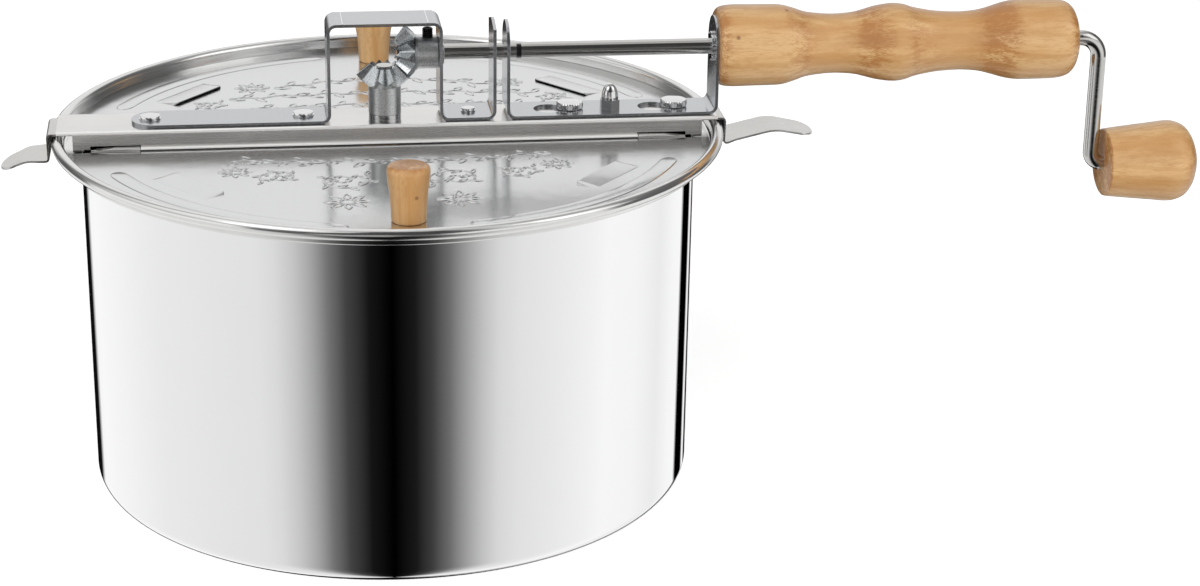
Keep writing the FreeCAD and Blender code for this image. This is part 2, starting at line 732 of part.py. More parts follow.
def make_lids():
    """Both lid halves with their wooden knobs and the screws that hold them."""
    rear = lid_shape()
    foot = float(size["knob_foot"])
    widest = float(size["knob_radius"])
    height = float(size["knob_height"])
    neck = (foot + widest) / 2
    stations = [(0.0, foot), (0.18 * height, foot * 1.01), (0.52 * height, neck),
                (0.80 * height, widest), (0.93 * height, widest * 0.96), (height, widest * 0.82)]
    screw_radius = float(size["knob_screw"])
    head_sheet = float(size["knob_head_sheet"])
    depth = float(size["knob_screw_depth"])
    for name, turn in (("front", 180), ("rear", 0)):
        turned_lid = rear.copy()
        turned_lid.rotate(Vector(0, 0, 0), Vector(0, 0, 1), turn)
        shape_piece(f"lid_{name}", turned_lid)
        side = -1 if name == "front" else 1
        place = point(0, knob_place * side, lid_top)
        knob = turned(stations, place, Vector(0, 0, 1))
        knob = knob.cut(rod_solid(screw_radius, place, place + Vector(0, 0, depth)))
        shape_piece(f"lid_knob_{name}", knob)
        under = place - Vector(0, 0, float(size["lid_sheet"]))
        screw = rod_solid(size["knob_screw_head"], under - Vector(0, 0, head_sheet), under)
        screw = screw.fuse(rod_solid(screw_radius, under, place + Vector(0, 0, depth)))
        shape_piece(f"knob_screw_{name}", screw)


# ------------------------------------------------------------------ clips


def lever_outline(start, reach):
    """Prism, seen from above, that narrows a clip into its rounded finger lever."""
    base_half = float(clip_half)
    half = float(size["lever_width"]) / 2
    tip = float(size["lever_tip"]) / 2
    inside = float(bar_end)
    shoulder = start + 2 * float(size["clip_sheet"])
    right = start + reach
    low = float(size["ledge_height"]) - reach
    points = [Vector(inside, -base_half, low), Vector(shoulder, -base_half, low),
              Vector(shoulder + 2 * (base_half - half), -half, low), Vector(right - tip, -tip, low)]
    mirrored = [Vector(item.x, -item.y, low) for item in reversed(points)]
    edges = [Part.LineSegment(first, second).toShape() for first, second in zip(points, points[1:])]
    edges.append(Part.Arc(points[-1], Vector(right, 0, low), mirrored[0]).toShape())
    edges += [Part.LineSegment(first, second).toShape()
              for first, second in zip(mirrored, mirrored[1:])]
    edges.append(Part.LineSegment(mirrored[-1], points[0]).toShape())
    return Part.Face(Part.Wire(edges)).extrude(Vector(0, 0, 2 * reach))


def make_clips():
    """Spring strips that hold the crossbar on the rim, each with a finger lever outside it."""
    thick = size["clip_sheet"]
    leaf_end = bar_end - size["lever_gap"]
    middle = float(leaf_foot + thick / 2)
    outside = float(bead_side + size["clip_side_gap"] + thick / 2)
    tuck = outside - float(size["lever_tuck"])
    dip = float(bead_height - size["lever_dip"])
    start = float(bar_end + size["lever_gap"])
    held = {"left": rivet_one, "right": stud_two}
    crest = {"left": (0.45, -size["left_crest"]), "right": (0.55, size["right_crest"])}
    tip = {"left": -size["left_end"], "right": size["right_end"]}
    for name, way in (("left", -1), ("right", 1)):
        inner_end = held[name] - size["leaf_tail"]
        low_x = inner_end if way > 0 else -leaf_end
        strip = box(f"LeafStrip{name}", (leaf_end - inner_end, clip_half * 2, thick),
                    (low_x, -clip_half, leaf_foot))
        hole = cylinder(f"LeafHole{name}", size["rivet_radius"], thick,
                        (held[name] * way, 0, leaf_foot))
        finish_piece(cut(f"clip_leaf_{name}", strip, hole), f"clip_leaf_{name}")

        reach = float(size[f"{name}_lever"])
        share, rise = crest[name]
        path = [Vector(start, 0, middle), Vector(outside, 0, middle), Vector(tuck, 0, dip),
                Vector(outside + reach * share, 0, dip + float(rise)),
                Vector(outside + reach, 0, dip + float(tip[name]))]
        bends = (1.6 * float(thick), 1.25 * float(thick), reach / 2)
        lever = bent_strip(path, bends, thick, clip_half * 2)
        trimmed = lever.common(lever_outline(outside, reach))
        if way < 0:
            trimmed = trimmed.mirror(Vector(0, 0, 0), Vector(1, 0, 0))
        shape_piece(f"clip_lever_{name}", trimmed)


# ------------------------------------------------------------------ brackets


def wall_hole(radius, place):
    """Cutting solid for a hole on the crank axis through a strap's upright wall."""
    reach = Vector(float(size["strap_sheet"]), 0, 0)
    middle = Vector(place, 0, float(axis_height))
    return rod_solid(radius, middle - reach, middle + reach)


def make_gear_bracket():
    """Bent strap: long foot, bridge over the gears, short foot and bearing ear."""
    thick = size["strap_sheet"]
    half = float(thick) / 2
    bend = size["strap_bend"]
    floor = float(bar_top) + half
    roof = float(bridge_top) - half
    left = float(axis_place - size["leg_left"]) + half
    right = float(leg_right) - half
    ear = float(gear_ear) - half
    corners = [(-float(strap_left), floor), (left, floor), (left, roof), (right, roof),
               (right, floor), (ear, floor), (ear, float(gear_ear_top))]
    path = [Vector(x, 0, z) for x, z in corners]
    width = float(size["strap_width"])
    strap = bent_strip(path, [bend] * 5, thick, width)
    # round end of the long foot, seen from above
    half_width = width / 2
    top = float(gear_ear_top)
    start = -float(strap_left) + half_width
    tall = float(bridge_top) + OVERRUN
    nose = Part.makeCylinder(half_width, tall, Vector(start, 0, 0))
    rest = Part.makeBox(ear + float(thick) - start, width, tall, Vector(start, -half_width, 0))
    strap = strap.common(nose.fuse(rest))
    # sloping sides of the ear's top edge
    crop = float(size["ear_crop"])
    slant = float(size["ear_slant"])
    ear_inside = ear - float(thick)
    for side in (-1, 1):
        edge = side * half_width
        corner = [Vector(ear_inside, edge, top - crop), Vector(ear_inside, edge, top),
                  Vector(ear_inside, edge - side * slant, top)]
        corner = Part.Face(Part.makePolygon(corner + corner[:1]))
        strap = strap.cut(corner.extrude(Vector(2 * float(thick), 0, 0)))
    for place in (right, ear):
        strap = strap.cut(wall_hole(shaft_bore, place))
    for place in (-rivet_one, -rivet_two, rivet_three):
        strap = strap.cut(rod_solid(size["rivet_radius"], point(place, 0, bar_top - OVERRUN),
                                    point(place, 0, strap_top + OVERRUN)))
    shape_piece("gear_bracket", strap.removeSplitter())


def make_handle_bracket():
    """U-shaped strap with two round-topped ears and two keyholes."""
    thick = size["strap_sheet"]
    half = float(thick) / 2
    floor = float(bar_top) + half
    near = float(near_ear) + half
    far = float(far_ear) - half
    top = float(ear_top)
    path = [Vector(x, 0, z) for x, z in ((near, top), (near, floor), (far, floor), (far, top))]
    width = float(size["strap_width"])
    bend = size["strap_bend"]
    strap = bent_strip(path, [bend, bend], thick, width)
    half_width = width / 2
    middle = top - half_width
    beyond = far + float(thick)
    ears = Part.makeBox(beyond, width, middle, Vector(0, -half_width, 0))
    rounds = rod_solid(half_width, Vector(0, 0, middle), Vector(beyond, 0, middle))
    strap = strap.common(ears.fuse(rounds))
    strap = strap.cut(wall_hole(shaft_bore, near)).cut(wall_hole(size["tube_radius"], far))
    slot_half = float(size["stud_neck"] + size["running_gap"] * 3)
    entry = float(size["stud_head"] + size["keyhole_gap"])
    shift = float(size["keyhole_shift"])
    low = float(bar_top) - OVERRUN
    deep = float(thick) + 2 * OVERRUN
    for place in (float(stud_one), float(stud_two)):
        hole = Part.makeCylinder(entry, deep, Vector(place - shift, 0, low))
        slot = Part.makeBox(shift, 2 * slot_half, deep, Vector(place - shift, -slot_half, low))
        seat = Part.makeCylinder(slot_half, deep, Vector(place, 0, low))
        strap = strap.cut(hole.fuse(slot).fuse(seat))
    screw = point(lock_screw_place, 0, low)
    strap = strap.cut(rod_solid(size["lock_screw_radius"], screw, screw + Vector(0, 0, deep)))
    shape_piece("handle_bracket", strap.removeSplitter())


def domed_head(radius, rise, place):
    """Flat-domed rivet head standing on a plane."""
    height = float(rise)
    stations = [(0.0, float(radius)), (height * 0.45, float(radius)),
                (height * 0.8, float(radius) * 0.86), (height, float(radius) * 0.6)]
    edges = []
    line = [place + Vector(r, 0, z) for z, r in stations]
    line.append(place + Vector(0, 0, height))
    line.append(place)
    for first, second in zip(line, line[1:] + line[:1]):
        edges.append(Part.LineSegment(first, second).toShape())
    return Part.Face(Part.Wire(edges)).revolve(place, Vector(0, 0, 1), 360)


def make_fasteners():
    """Rivets of the gear bracket, keyhole studs, and the lock screw with its acorn nut."""
    tail = size["tail_sheet"]
    shank = float(size["rivet_radius"])
    rivets = []
    for place, head, foot in ((-rivet_one, size["rivet_head"], leaf_foot),
                              (-rivet_two, size["rivet_head"], plate_foot),
                              (rivet_three, size["small_head"], plate_foot)):
        body = rod_solid(shank, point(place, 0, foot), point(place, 0, strap_top))
        lower = rod_solid(head, point(place, 0, foot - tail), point(place, 0, foot))
        upper = domed_head(head, size["rivet_rise"], point(place, 0, strap_top))
        rivets.append(body.fuse([lower, upper]).removeSplitter())
    shape_piece("bracket_rivets", Part.makeCompound(rivets))

    studs = []
    neck_top = strap_top + size["stud_lift"]
    for place, foot in ((stud_one, plate_foot), (stud_two, leaf_foot)):
        body = rod_solid(size["rivet_radius"], point(place, 0, foot), point(place, 0, bar_top))
        neck = rod_solid(size["stud_neck"], point(place, 0, bar_top), point(place, 0, neck_top))
        lower = rod_solid(size["small_head"], point(place, 0, foot - tail), point(place, 0, foot))
        head = rod_solid(size["stud_head"], point(place, 0, neck_top),
                         point(place, 0, neck_top + size["stud_rise"]))
        rim = [edge for edge in head.Edges
               if is_ring(edge, size["stud_head"], neck_top + size["stud_rise"])]
        head = head.makeChamfer(float(size["stud_bevel"]), rim)
        studs.append(body.fuse([neck, lower, head]).removeSplitter())
    shape_piece("keyhole_studs", Part.makeCompound(studs))

    place = lock_screw_place
    thread = size["lock_screw_radius"]
    reach = float(size["lock_screw_reach"])
    screw = rod_solid(thread, point(place, 0, plate_foot), point(place, 0, strap_top + reach))
    head = rod_solid(size["lock_screw_head"],
                     point(place, 0, plate_foot - size["lock_head_sheet"]),
                     point(place, 0, plate_foot))
    shape_piece("lock_screw", screw.fuse(head).removeSplitter())

    base = point(place, 0, strap_top)
    across = float(size["acorn_flats"]) / math.sqrt(3)
    corners = [base + Vector(across * math.cos(math.radians(60 * step + 30)),
                             across * math.sin(math.radians(60 * step + 30)), 0)
               for step in range(6)]
    hexagon = Part.Face(Part.makePolygon(corners + corners[:1]))
    hexagon = hexagon.extrude(Vector(0, 0, float(size["acorn_hex"])))
    dome_start = float(size["acorn_hex"])
    rise = float(size["acorn_rise"])
    wide = float(size["acorn_flats"]) / 2
    stations = [(dome_start, wide * 0.94), (dome_start + (rise - dome_start) * 0.45, wide * 0.86),
                (dome_start + (rise - dome_start) * 0.8, wide * 0.62), (rise, wide * 0.22)]
    dome = turned(stations, base, Vector(0, 0, 1))
    bore = rod_solid(thread, base, base + Vector(0, 0, reach))
    shape_piece("acorn_nut", hexagon.fuse(dome).cut(bore).removeSplitter())


# ------------------------------------------------------------------ gears and shafts


def miter_gear(hub_end, bore):
    """Bevel gear with its pitch cone's apex at the origin and its hub along -Z."""
    teeth = int(float(size["gear_teeth"]))
    pitch = float(size["pitch_radius"])
    module = 2 * pitch / teeth
    addendum = 0.95 * module
    dedendum = 1.25 * module
    sink = 0.13 * module  # how far a tooth's root reaches into the blank
    cone = pitch * math.sqrt(2)
    small = 1 - float(size["face_width"]) / cone
    slant = math.sqrt(0.5)
    root_large = (pitch - dedendum * slant, -pitch - dedendum * slant)
    root_small = (root_large[0] * small, root_large[1] * small)
    hub = float(size["hub_radius"])
    back = root_large[1] - (root_large[0] - hub)
    inner = float(bore)
    profile = [Vector(inner, 0, -hub_end), Vector(hub, 0, -hub_end), Vector(hub, 0, back),
               Vector(root_large[0], 0, root_large[1]), Vector(root_small[0], 0, root_small[1]),
               Vector(inner, 0, root_small[1])]
    face = Part.Face(Part.makePolygon(profile + profile[:1]))
    blank = face.revolve(Vector(0, 0, 0), Vector(0, 0, 1), 360)

    def section(scale):
        """Tooth section across the pitch line, shrunk towards the apex."""
        half_pitch = math.pi * pitch / teeth
        half_tip = half_pitch * 0.15
        half_mid = half_pitch * 0.41
        half_root = half_pitch * 0.71
        outward = Vector(slant, 0, slant)
        middle = Vector(pitch, 0, -pitch)
        corners = []
        for level, half in ((-dedendum - sink, half_root), (0, half_mid), (addendum, half_tip)):
            corners.append((middle + outward * level, half))
        ring = [spot + Vector(0, half, 0) for spot, half in corners]
        ring += [spot - Vector(0, half, 0) for spot, half in reversed(corners)]
        ring = [spot * scale for spot in ring]
        return Part.makePolygon(ring + ring[:1])

    tooth = Part.makeLoft([section(1.0), section(small)], True, True)
    solids = []
    for index in range(teeth):
        copy = tooth.copy()
        copy.rotate(Vector(0, 0, 0), Vector(0, 0, 1), 360.0 * index / teeth)
        solids.append(copy)
    gear = blank.fuse(solids)
    bore_solid = rod_solid(inner, Vector(0, 0, -hub_end - OVERRUN), Vector(0, 0, 0))
    return gear.cut(bore_solid).removeSplitter()


def star_ring(place, axis, inner):
    """Push-on retaining ring with eight points."""
    outer = float(size["clip_ring_radius"])
    valley = outer * 0.82
    count = 8
    corners = []
    for step in range(2 * count):
        radius = outer if step % 2 == 0 else valley
        turn = math.pi * step / count
        corners.append(Vector(radius * math.cos(turn), radius * math.sin(turn), 0))
    ring = Part.Face(Part.makePolygon(corners + corners[:1]))
    ring = ring.extrude(Vector(0, 0, float(size["clip_ring_sheet"])))
    ring = ring.cut(rod_solid(inner, Vector(0, 0, -OVERRUN), Vector(0, 0, outer)))
    ring.Placement = FreeCAD.Placement(place, Rotation(Vector(0, 0, 1), axis))
    return ring


def make_gear_train():
    """Gear shaft with its miter gear, and the stirrer shaft with the gear that it turns."""
    apex = point(axis_place, 0, axis_height)
    shaft = float(size["shaft_radius"])
    along = Vector(1, 0, 0)
    hub_end = size["leg_right"] - size["strap_sheet"] - size["rest_gap"]
    small_end = size["pitch_radius"] * 0.5

    drive = miter_gear(float(hub_end), shaft)
    drive.rotate(Vector(0, 0, 0), Vector(0, 0, 1), 180.0 / float(size["gear_teeth"]))
    drive.rotate(Vector(0, 0, 0), Vector(0, 1, 0), -90)
    drive.translate(apex)
    screw_place = axis_place + hub_end - size["set_screw_inset"]
    screw_top = axis_height + size["hub_radius"] + size["set_screw_proud"]
    screw = rod_solid(size["set_screw_radius"], point(screw_place, 0, axis_height + shaft),
                      point(screw_place, 0, screw_top))
    drive = drive.cut(screw)
    shape_piece("drive_gear", drive)
    socket = rod_solid(size["socket_radius"],
                       point(screw_place, 0, screw_top - size["socket_depth"]),
                       point(screw_place, 0, screw_top))
    shape_piece("set_screw", screw.cut(socket))

    shaft_end = coupling_place - size["coupling_gap"]
    gear_shaft = rod_solid(shaft, point(axis_place + small_end, 0, axis_height),
                           point(shaft_end, 0, axis_height))
    slot_half = float(size["tongue_sheet"] / 2 + size["running_gap"])
    slot_start = float(coupling_place - size["tongue_reach"] - size["rest_gap"])
    slot = Part.makeBox(float(size["tongue_reach"]), 2 * slot_half, 4 * shaft,
                        Vector(slot_start, -slot_half, float(axis_height) - 2 * shaft))
    shape_piece("gear_shaft", gear_shaft.cut(slot))
    ring_place = point(leg_right + size["rest_gap"], 0, axis_height)
    shape_piece("gear_shaft_ring", star_ring(ring_place, along, shaft))

    washer_top = bar_top + size["washer_sheet"]
    under = (axis_place, 0, bar_top)
    washer = cut("gear_washer",
                 cylinder("WasherDisc", size["hub_radius"], size["washer_sheet"], under),
                 cylinder("WasherHole", shaft_bore, size["washer_sheet"], under))
    finish_piece(washer, "gear_washer")
    driven = miter_gear(float(axis_height - washer_top - size["rest_gap"] / 2), shaft)
    driven.translate(apex)
    shape_piece("driven_gear", driven)

    top = apex - Vector(0, 0, float(small_end))
    foot = point(axis_place, 0, size["stirrer_foot"])
    stem = rod_solid(shaft, foot, top)
    across = along * (2 * shaft)
    passage = point(axis_place, 0, size["stirrer_height"])
    cross_hole = rod_solid(size["stirrer_wire"], passage - across, passage + across)
    shape_piece("stirrer_shaft", stem.cut(cross_hole))
    ring_height = plate_foot - size["rest_gap"] / 2 - size["clip_ring_sheet"]
    ring_place = point(axis_place, 0, ring_height)
    shape_piece("stirrer_ring", star_ring(ring_place, Vector(0, 0, 1), shaft))

    reach = float(stirrer_reach)
    sweep = float(size["stirrer_sweep"])
    level = float(size["stirrer_height"])
    middle_end = float(size["stirrer_straight"])
    elbow = float(stirrer_elbow)
    rise = level + float(size["stirrer_rise"])
    half_path = [(middle_end, 0, level), (elbow, sweep, level), (reach, sweep, level),
                 (reach, sweep, rise)]
    shift = float(axis_place)
    corners = [Vector(shift - x, -y, z) for x, y, z in reversed(half_path)]
    corners += [Vector(shift + x, y, z) for x, y, z in half_path]
    flat_bends = [size["stirrer_bend"]] * 4
    bends = [size["stirrer_end_bend"]] + flat_bends + [size["stirrer_end_bend"]]
    shape_piece("stirrer_wire", round_bar(corners, bends, size["stirrer_wire"]))


# ------------------------------------------------------------------ crank and handle


def make_crank():
    """Crank rod with its coupling tongue, the handle on its sleeve, and the crank knob."""
    shaft = size["shaft_radius"]
    height = float(axis_height)
    start = float(coupling_place)
    retainer = grip_end - size["grip_recess"]
    pin_end = float(retainer + size["pin_proud"])
    corners = [Vector(start, 0, height), Vector(float(arm_place), 0, height),
               Vector(float(arm_place), 0, float(grip_height)),
               Vector(pin_end, 0, float(grip_height))]
    rod = round_bar(corners, (size["crank_bend"], size["pin_bend"]), shaft)
    tongue_start_x = start - float(size["tongue_reach"])
    tongue = rod_solid(shaft, Vector(tongue_start_x, 0, height), Vector(start, 0, height))
    half = float(size["tongue_sheet"]) / 2
    across = 4 * float(shaft)
    flat = Part.makeBox(float(size["tongue_reach"]), 2 * half, across,
                        Vector(tongue_start_x, -half, height - across / 2))
    tongue = tongue.common(flat)
    shape_piece("crank_rod", rod.fuse(tongue).removeSplitter())

    tube_start = float(far_ear - size["strap_sheet"])
    tube = rod_solid(size["tube_radius"], Vector(tube_start, 0, height),
                     Vector(float(handle_end), 0, height))
    flare_sheet = float(size["flare_sheet"])
    flare = rod_solid(size["flare_radius"], Vector(tube_start - flare_sheet, 0, height),
                      Vector(tube_start, 0, height))
    notches = 8
    away = float(size["flare_radius"])
    for step in range(notches):
        turn = 2 * math.pi * (step + 0.5) / notches
        spot = Vector(tube_start, away * math.cos(turn), height + away * math.sin(turn))
        notch = rod_solid(size["flare_notch"], spot - Vector(2 * flare_sheet, 0, 0), spot)
        flare = flare.cut(notch)
    tube = tube.fuse(flare)
    bore = rod_solid(shaft_bore, Vector(tube_start - flare_sheet - OVERRUN, 0, height),
                     Vector(float(handle_end) + OVERRUN, 0, height))
    shape_piece("handle_sleeve", tube.cut(bore).removeSplitter())

    length = float(size["handle_length"])
    thick = float(size["handle_radius"])
    waist = float(size["handle_waist"])
    swell = float(size["handle_swell"])
    stations = [(0.0, thick * 0.86), (0.012 * length, thick * 0.95), (0.035 * length, thick * 1.005),
                (0.09 * length, thick), (0.15 * length, thick), (0.182 * length, thick * 0.985),
                (0.212 * length, (3 * thick + waist) / 4), (0.25 * length, (2 * waist + thick) / 3),
                (0.325 * length, waist), (0.385 * length, (3 * waist + swell) / 4),
                (0.43 * length, (swell + waist) / 2), (0.5 * length, swell),
                (0.555 * length, (swell + waist) / 2), (0.6 * length, (4 * waist + swell) / 5),
                (0.665 * length, waist), (0.735 * length, (3 * waist + thick) / 4),
                (0.785 * length, (3 * thick + waist) / 4), (0.84 * length, thick),
                (0.94 * length, thick), (0.972 * length, thick * 0.955),
                (0.99 * length, thick * 0.85), (length, thick * 0.68)]
    base = point(far_ear, 0, axis_height)
    before = Vector(-OVERRUN, 0, 0)
    along = Vector(1, 0, 0)
    grip = turned(stations, base, along)
    grip = grip.cut(rod_solid(size["tube_radius"], base + before, base + along * (length + OVERRUN)))
    shape_piece("handle", grip)

    length = float(size["grip_length"])
    neck = float(size["grip_neck"])
    widest = float(size["grip_radius"])
    stations = [(0.0, neck * 0.94), (0.03 * length, neck), (0.3 * length, neck * 1.08),
                (0.6 * length, widest * 0.985), (0.72 * length, widest), (0.84 * length, widest * 0.95),
                (0.94 * length, widest * 0.76), (length, widest * 0.5)]
    base = point(grip_start, 0, grip_height)
    knob = turned(stations, base, along)
    bore = rod_solid(shaft_bore, base + before, base + along * (length + OVERRUN))
    recess = rod_solid(size["clip_ring_radius"] + size["keyhole_gap"],
                       point(retainer, 0, grip_height), point(grip_end + OVERRUN, 0, grip_height))
    shape_piece("crank_knob", knob.cut(bore).cut(recess))
    ring_place = point(retainer + size["rest_gap"], 0, grip_height)
    shape_piece("crank_knob_ring", star_ring(ring_place, along, shaft))


# ------------------------------------------------------------------ build, check and export


def check_document():
    """Stops on any failed feature or unusable shape."""
    doc.recompute()
    for feature in doc.Objects:
        if "Invalid" in feature.State or "Error" in feature.State:
            raise RuntimeError(f"{feature.Name} failed: {feature.State}")
    for piece in pieces:
        if piece.Shape.isNull() or not piece.Shape.isValid():
            raise RuntimeError(f"{piece.Label} has no valid shape")


def export_pieces():
    """Writes one STEP file for each piece."""
    os.makedirs("parts", exist_ok=True)
    for piece in pieces:
        piece.Shape.exportStep(f"parts/{piece.Label}.step")
        solids = len(piece.Shape.Solids)
        print(f"{piece.Label}: {solids} solid(s), {piece.Shape.Volume:.1f} mm3")


make_pot()
make_crossbar()
make_hinge_wires()
make_lids()
make_clips()
make_gear_bracket()
make_handle_bracket()
make_fasteners()
make_gear_train()
make_crank()
check_document()
export_pieces()
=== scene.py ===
# %% [markdown]
# A stovetop popcorn popper, dressed around its engineering model.
# The real object is a thin mirror-polished steel pot with a rolled rim. A crossbar lies across it
# and carries a split lid, a pair of miter gears under a bridge, and a crank that runs through a
# turned wooden handle. The engineering model gives the sizes and places, and this lesson adds what
# a maker's hands and machines leave behind: rounded edges, grain, brushing and polish.

# %% Load the model that everything is fitted to
import math

import bmesh
import bpy
from mathutils import Matrix, Vector


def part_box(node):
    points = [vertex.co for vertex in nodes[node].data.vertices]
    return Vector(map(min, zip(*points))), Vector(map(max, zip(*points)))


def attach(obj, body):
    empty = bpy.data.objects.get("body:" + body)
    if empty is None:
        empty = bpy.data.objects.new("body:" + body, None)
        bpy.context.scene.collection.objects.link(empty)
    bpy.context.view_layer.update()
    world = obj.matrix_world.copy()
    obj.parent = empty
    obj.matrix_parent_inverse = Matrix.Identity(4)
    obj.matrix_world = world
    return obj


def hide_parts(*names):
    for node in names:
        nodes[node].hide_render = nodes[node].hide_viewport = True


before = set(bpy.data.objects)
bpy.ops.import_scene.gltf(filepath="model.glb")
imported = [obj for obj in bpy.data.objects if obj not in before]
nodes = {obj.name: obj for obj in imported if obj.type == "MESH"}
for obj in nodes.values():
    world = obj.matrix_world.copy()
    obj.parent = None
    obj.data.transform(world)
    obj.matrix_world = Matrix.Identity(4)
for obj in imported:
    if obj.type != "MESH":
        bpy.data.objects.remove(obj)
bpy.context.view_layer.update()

MM = 0.001
UP = Vector((0, 0, 1))
ALONG = Vector((1, 0, 0))

# %% [markdown]
# The camera comes first, because every later choice is judged through it. It stands a metre away,
# looks down by about twenty degrees and is turned a little, and its long lens keeps the pot's
# sides nearly upright. A camera looks along its own -Z, so its axes are built from the viewing
# direction and then tipped by the small roll.

# %% Place the camera
CAMERA_PLACE = Vector((-0.06251, -1.01507, 0.45113))
CAMERA_DOWN = math.radians(20.59)
CAMERA_YAW = math.radians(-8.1)
CAMERA_ROLL = math.radians(0.94)
FRAME_WIDTH = 1200
FOCAL_PIXELS = 2780.69
SENSOR_WIDTH = 36.0

forward = Vector((-math.sin(CAMERA_YAW) * math.cos(CAMERA_DOWN),
                  math.cos(CAMERA_YAW) * math.cos(CAMERA_DOWN), -math.sin(CAMERA_DOWN)))
level = Vector((math.cos(CAMERA_YAW), math.sin(CAMERA_YAW), 0))
upright = level.cross(forward)
side = math.cos(CAMERA_ROLL) * level + math.sin(CAMERA_ROLL) * upright
top = math.cos(CAMERA_ROLL) * upright - math.sin(CAMERA_ROLL) * level
camera_data = bpy.data.cameras.new("studio_camera")
camera_data.sensor_width = SENSOR_WIDTH
camera_data.lens = FOCAL_PIXELS * SENSOR_WIDTH / FRAME_WIDTH
camera = bpy.data.objects.new("studio_camera", camera_data)
turn = Matrix((side, top, -forward)).transposed()
camera.matrix_world = Matrix.Translation(CAMERA_PLACE) @ turn.to_4x4()
bpy.context.scene.collection.objects.link(camera)
bpy.context.scene.camera = camera
bpy.context.scene.view_settings.view_transform = "Standard"
print("lens", round(camera_data.lens, 2), "mm")

# %% [markdown]
# Small helpers for node trees. A node tree is only boxes and wires, so one function adds a box
# with its settings and wires its inputs in the same line. Every tree after this reads from top to
# bottom like a recipe.

# %% Helpers for node trees
def add_node(tree, kind, settings=None, **inputs):
    """Adds a node, sets its properties and fills or wires its inputs, which are given by name."""
    node = tree.nodes.new(kind)
    for name, value in (settings or {}).items():
        setattr(node, name, value)
    for name, value in inputs.items():
        key = int(name[1:]) if name[0] == "_" and name[1:].isdigit() else name.replace("_", " ")
        socket = node.inputs[key]
        if isinstance(value, bpy.types.NodeSocket):
            tree.links.new(value, socket)
        else:
            socket.default_value = value
    return node


def new_group(name, kind, inputs, outputs):
    """Starts a node group with named inputs, as (name, socket kind, value), and named outputs."""
    tree = bpy.data.node_groups.new(name, kind)
    for label, socket_kind, value in inputs:
        socket = tree.interface.new_socket(label, in_out="INPUT", socket_type=socket_kind)
        if value is not None:
            socket.default_value = value
    for label, socket_kind in outputs:
        tree.interface.new_socket(label, in_out="OUTPUT", socket_type=socket_kind)
    return tree, tree.nodes.new("NodeGroupInput"), tree.nodes.new("NodeGroupOutput")


def maths(tree, operation, first, second=0.0):
    """One arithmetic step in a shader or geometry tree."""
    return add_node(tree, "ShaderNodeMath", {"operation": operation}, _0=first, _1=second).outputs[0]


def mix_colour(tree, share, first, second):
    """Blends two colours."""
    node = tree.nodes.new("ShaderNodeMix")
    node.data_type = "RGBA"
    for index, value in ((0, share), (6, first), (7, second)):
        if isinstance(value, bpy.types.NodeSocket):
            tree.links.new(value, node.inputs[index])
        else:
            node.inputs[index].default_value = value
    return node.outputs[2]

# %% [markdown]
# Three surface effects are shared by several finishes, so each is a node group that is built once
# and put into every material that needs it. The first is "Brushed lines". An abrasive belt draws
# long fine scratches along the steel, and a noise that is stretched a hundredfold along one
# direction looks just like them. It could be painted as an image, but a noise never repeats.

# %% Shader group: brushed lines
VECTOR, FLOAT = "NodeSocketVector", "NodeSocketFloat"
METAL_OUTPUTS = [("Lines", FLOAT), ("Cloud", FLOAT), ("Waves", FLOAT)]
CLOUD_SCALE = 60.0  # patches about 15 mm across
WAVE_SCALE = 30.0


def noise(tree, spot, scale, seed, detail=2.0):
    """Soft noise between about 0.3 and 0.7."""
    return add_node(tree, "ShaderNodeTexNoise", {"noise_dimensions": "4D"}, Vector=spot,
                    W=seed, Scale=scale, Detail=detail).outputs["Fac"]


brushed_lines, given, result = new_group(
    "Brushed lines", "ShaderNodeTree",
    [("Stretch", VECTOR, (20.0, 2500.0, 2500.0)), ("Seed", FLOAT, 0.0)], METAL_OUTPUTS)
spot = add_node(brushed_lines, "ShaderNodeTexCoord").outputs["Object"]
stretched = add_node(brushed_lines, "ShaderNodeVectorMath", {"operation": "MULTIPLY"},
                     _0=spot, _1=given.outputs["Stretch"]).outputs[0]
seed = given.outputs["Seed"]
for label, value in (("Lines", noise(brushed_lines, stretched, 1.0, seed, 3.0)),
                     ("Cloud", noise(brushed_lines, spot, CLOUD_SCALE, seed, 3.0)),
                     ("Waves", noise(brushed_lines, spot, WAVE_SCALE, seed, 1.0))):
    brushed_lines.links.new(value, result.inputs[label])
print(brushed_lines.name, len(brushed_lines.nodes), "nodes")

# %% [markdown]
# Blasted, cast and plated metal shows no lines, only an even, fine grain. Plain noise would do, but
# the cells of a Voronoi texture look more like the crystals of a zinc skin, so they give the specks.
# A slow noise gives the gentle waves that thin sheet always has.

# %% Shader group: metal grit
metal_grit, given, result = new_group(
    "Metal grit", "ShaderNodeTree",
    [("Grain size", FLOAT, 0.4 * MM), ("Wave size", FLOAT, 14 * MM), ("Seed", FLOAT, 0.0)],
    METAL_OUTPUTS)
spot = add_node(metal_grit, "ShaderNodeTexCoord").outputs["Object"]
seed = given.outputs["Seed"]
fineness = maths(metal_grit, "DIVIDE", 1.0, given.outputs["Grain size"])
slowness = maths(metal_grit, "DIVIDE", 1.0, given.outputs["Wave size"])
cells = add_node(metal_grit, "ShaderNodeTexVoronoi", {"feature": "F1"},
                 Vector=spot, Scale=fineness, Randomness=1.0).outputs["Distance"]
specks = add_node(metal_grit, "ShaderNodeMapRange", None,
                  Value=cells, From_Min=0.12, From_Max=0.45, To_Min=1.0, To_Max=0.0).outputs[0]
for label, value in (("Lines", noise(metal_grit, spot, fineness, seed)), ("Cloud", specks),
                     ("Waves", noise(metal_grit, spot, slowness, seed, 1.0))):
    metal_grit.links.new(value, result.inputs[label])
print(metal_grit.name, len(metal_grit.nodes), "nodes")

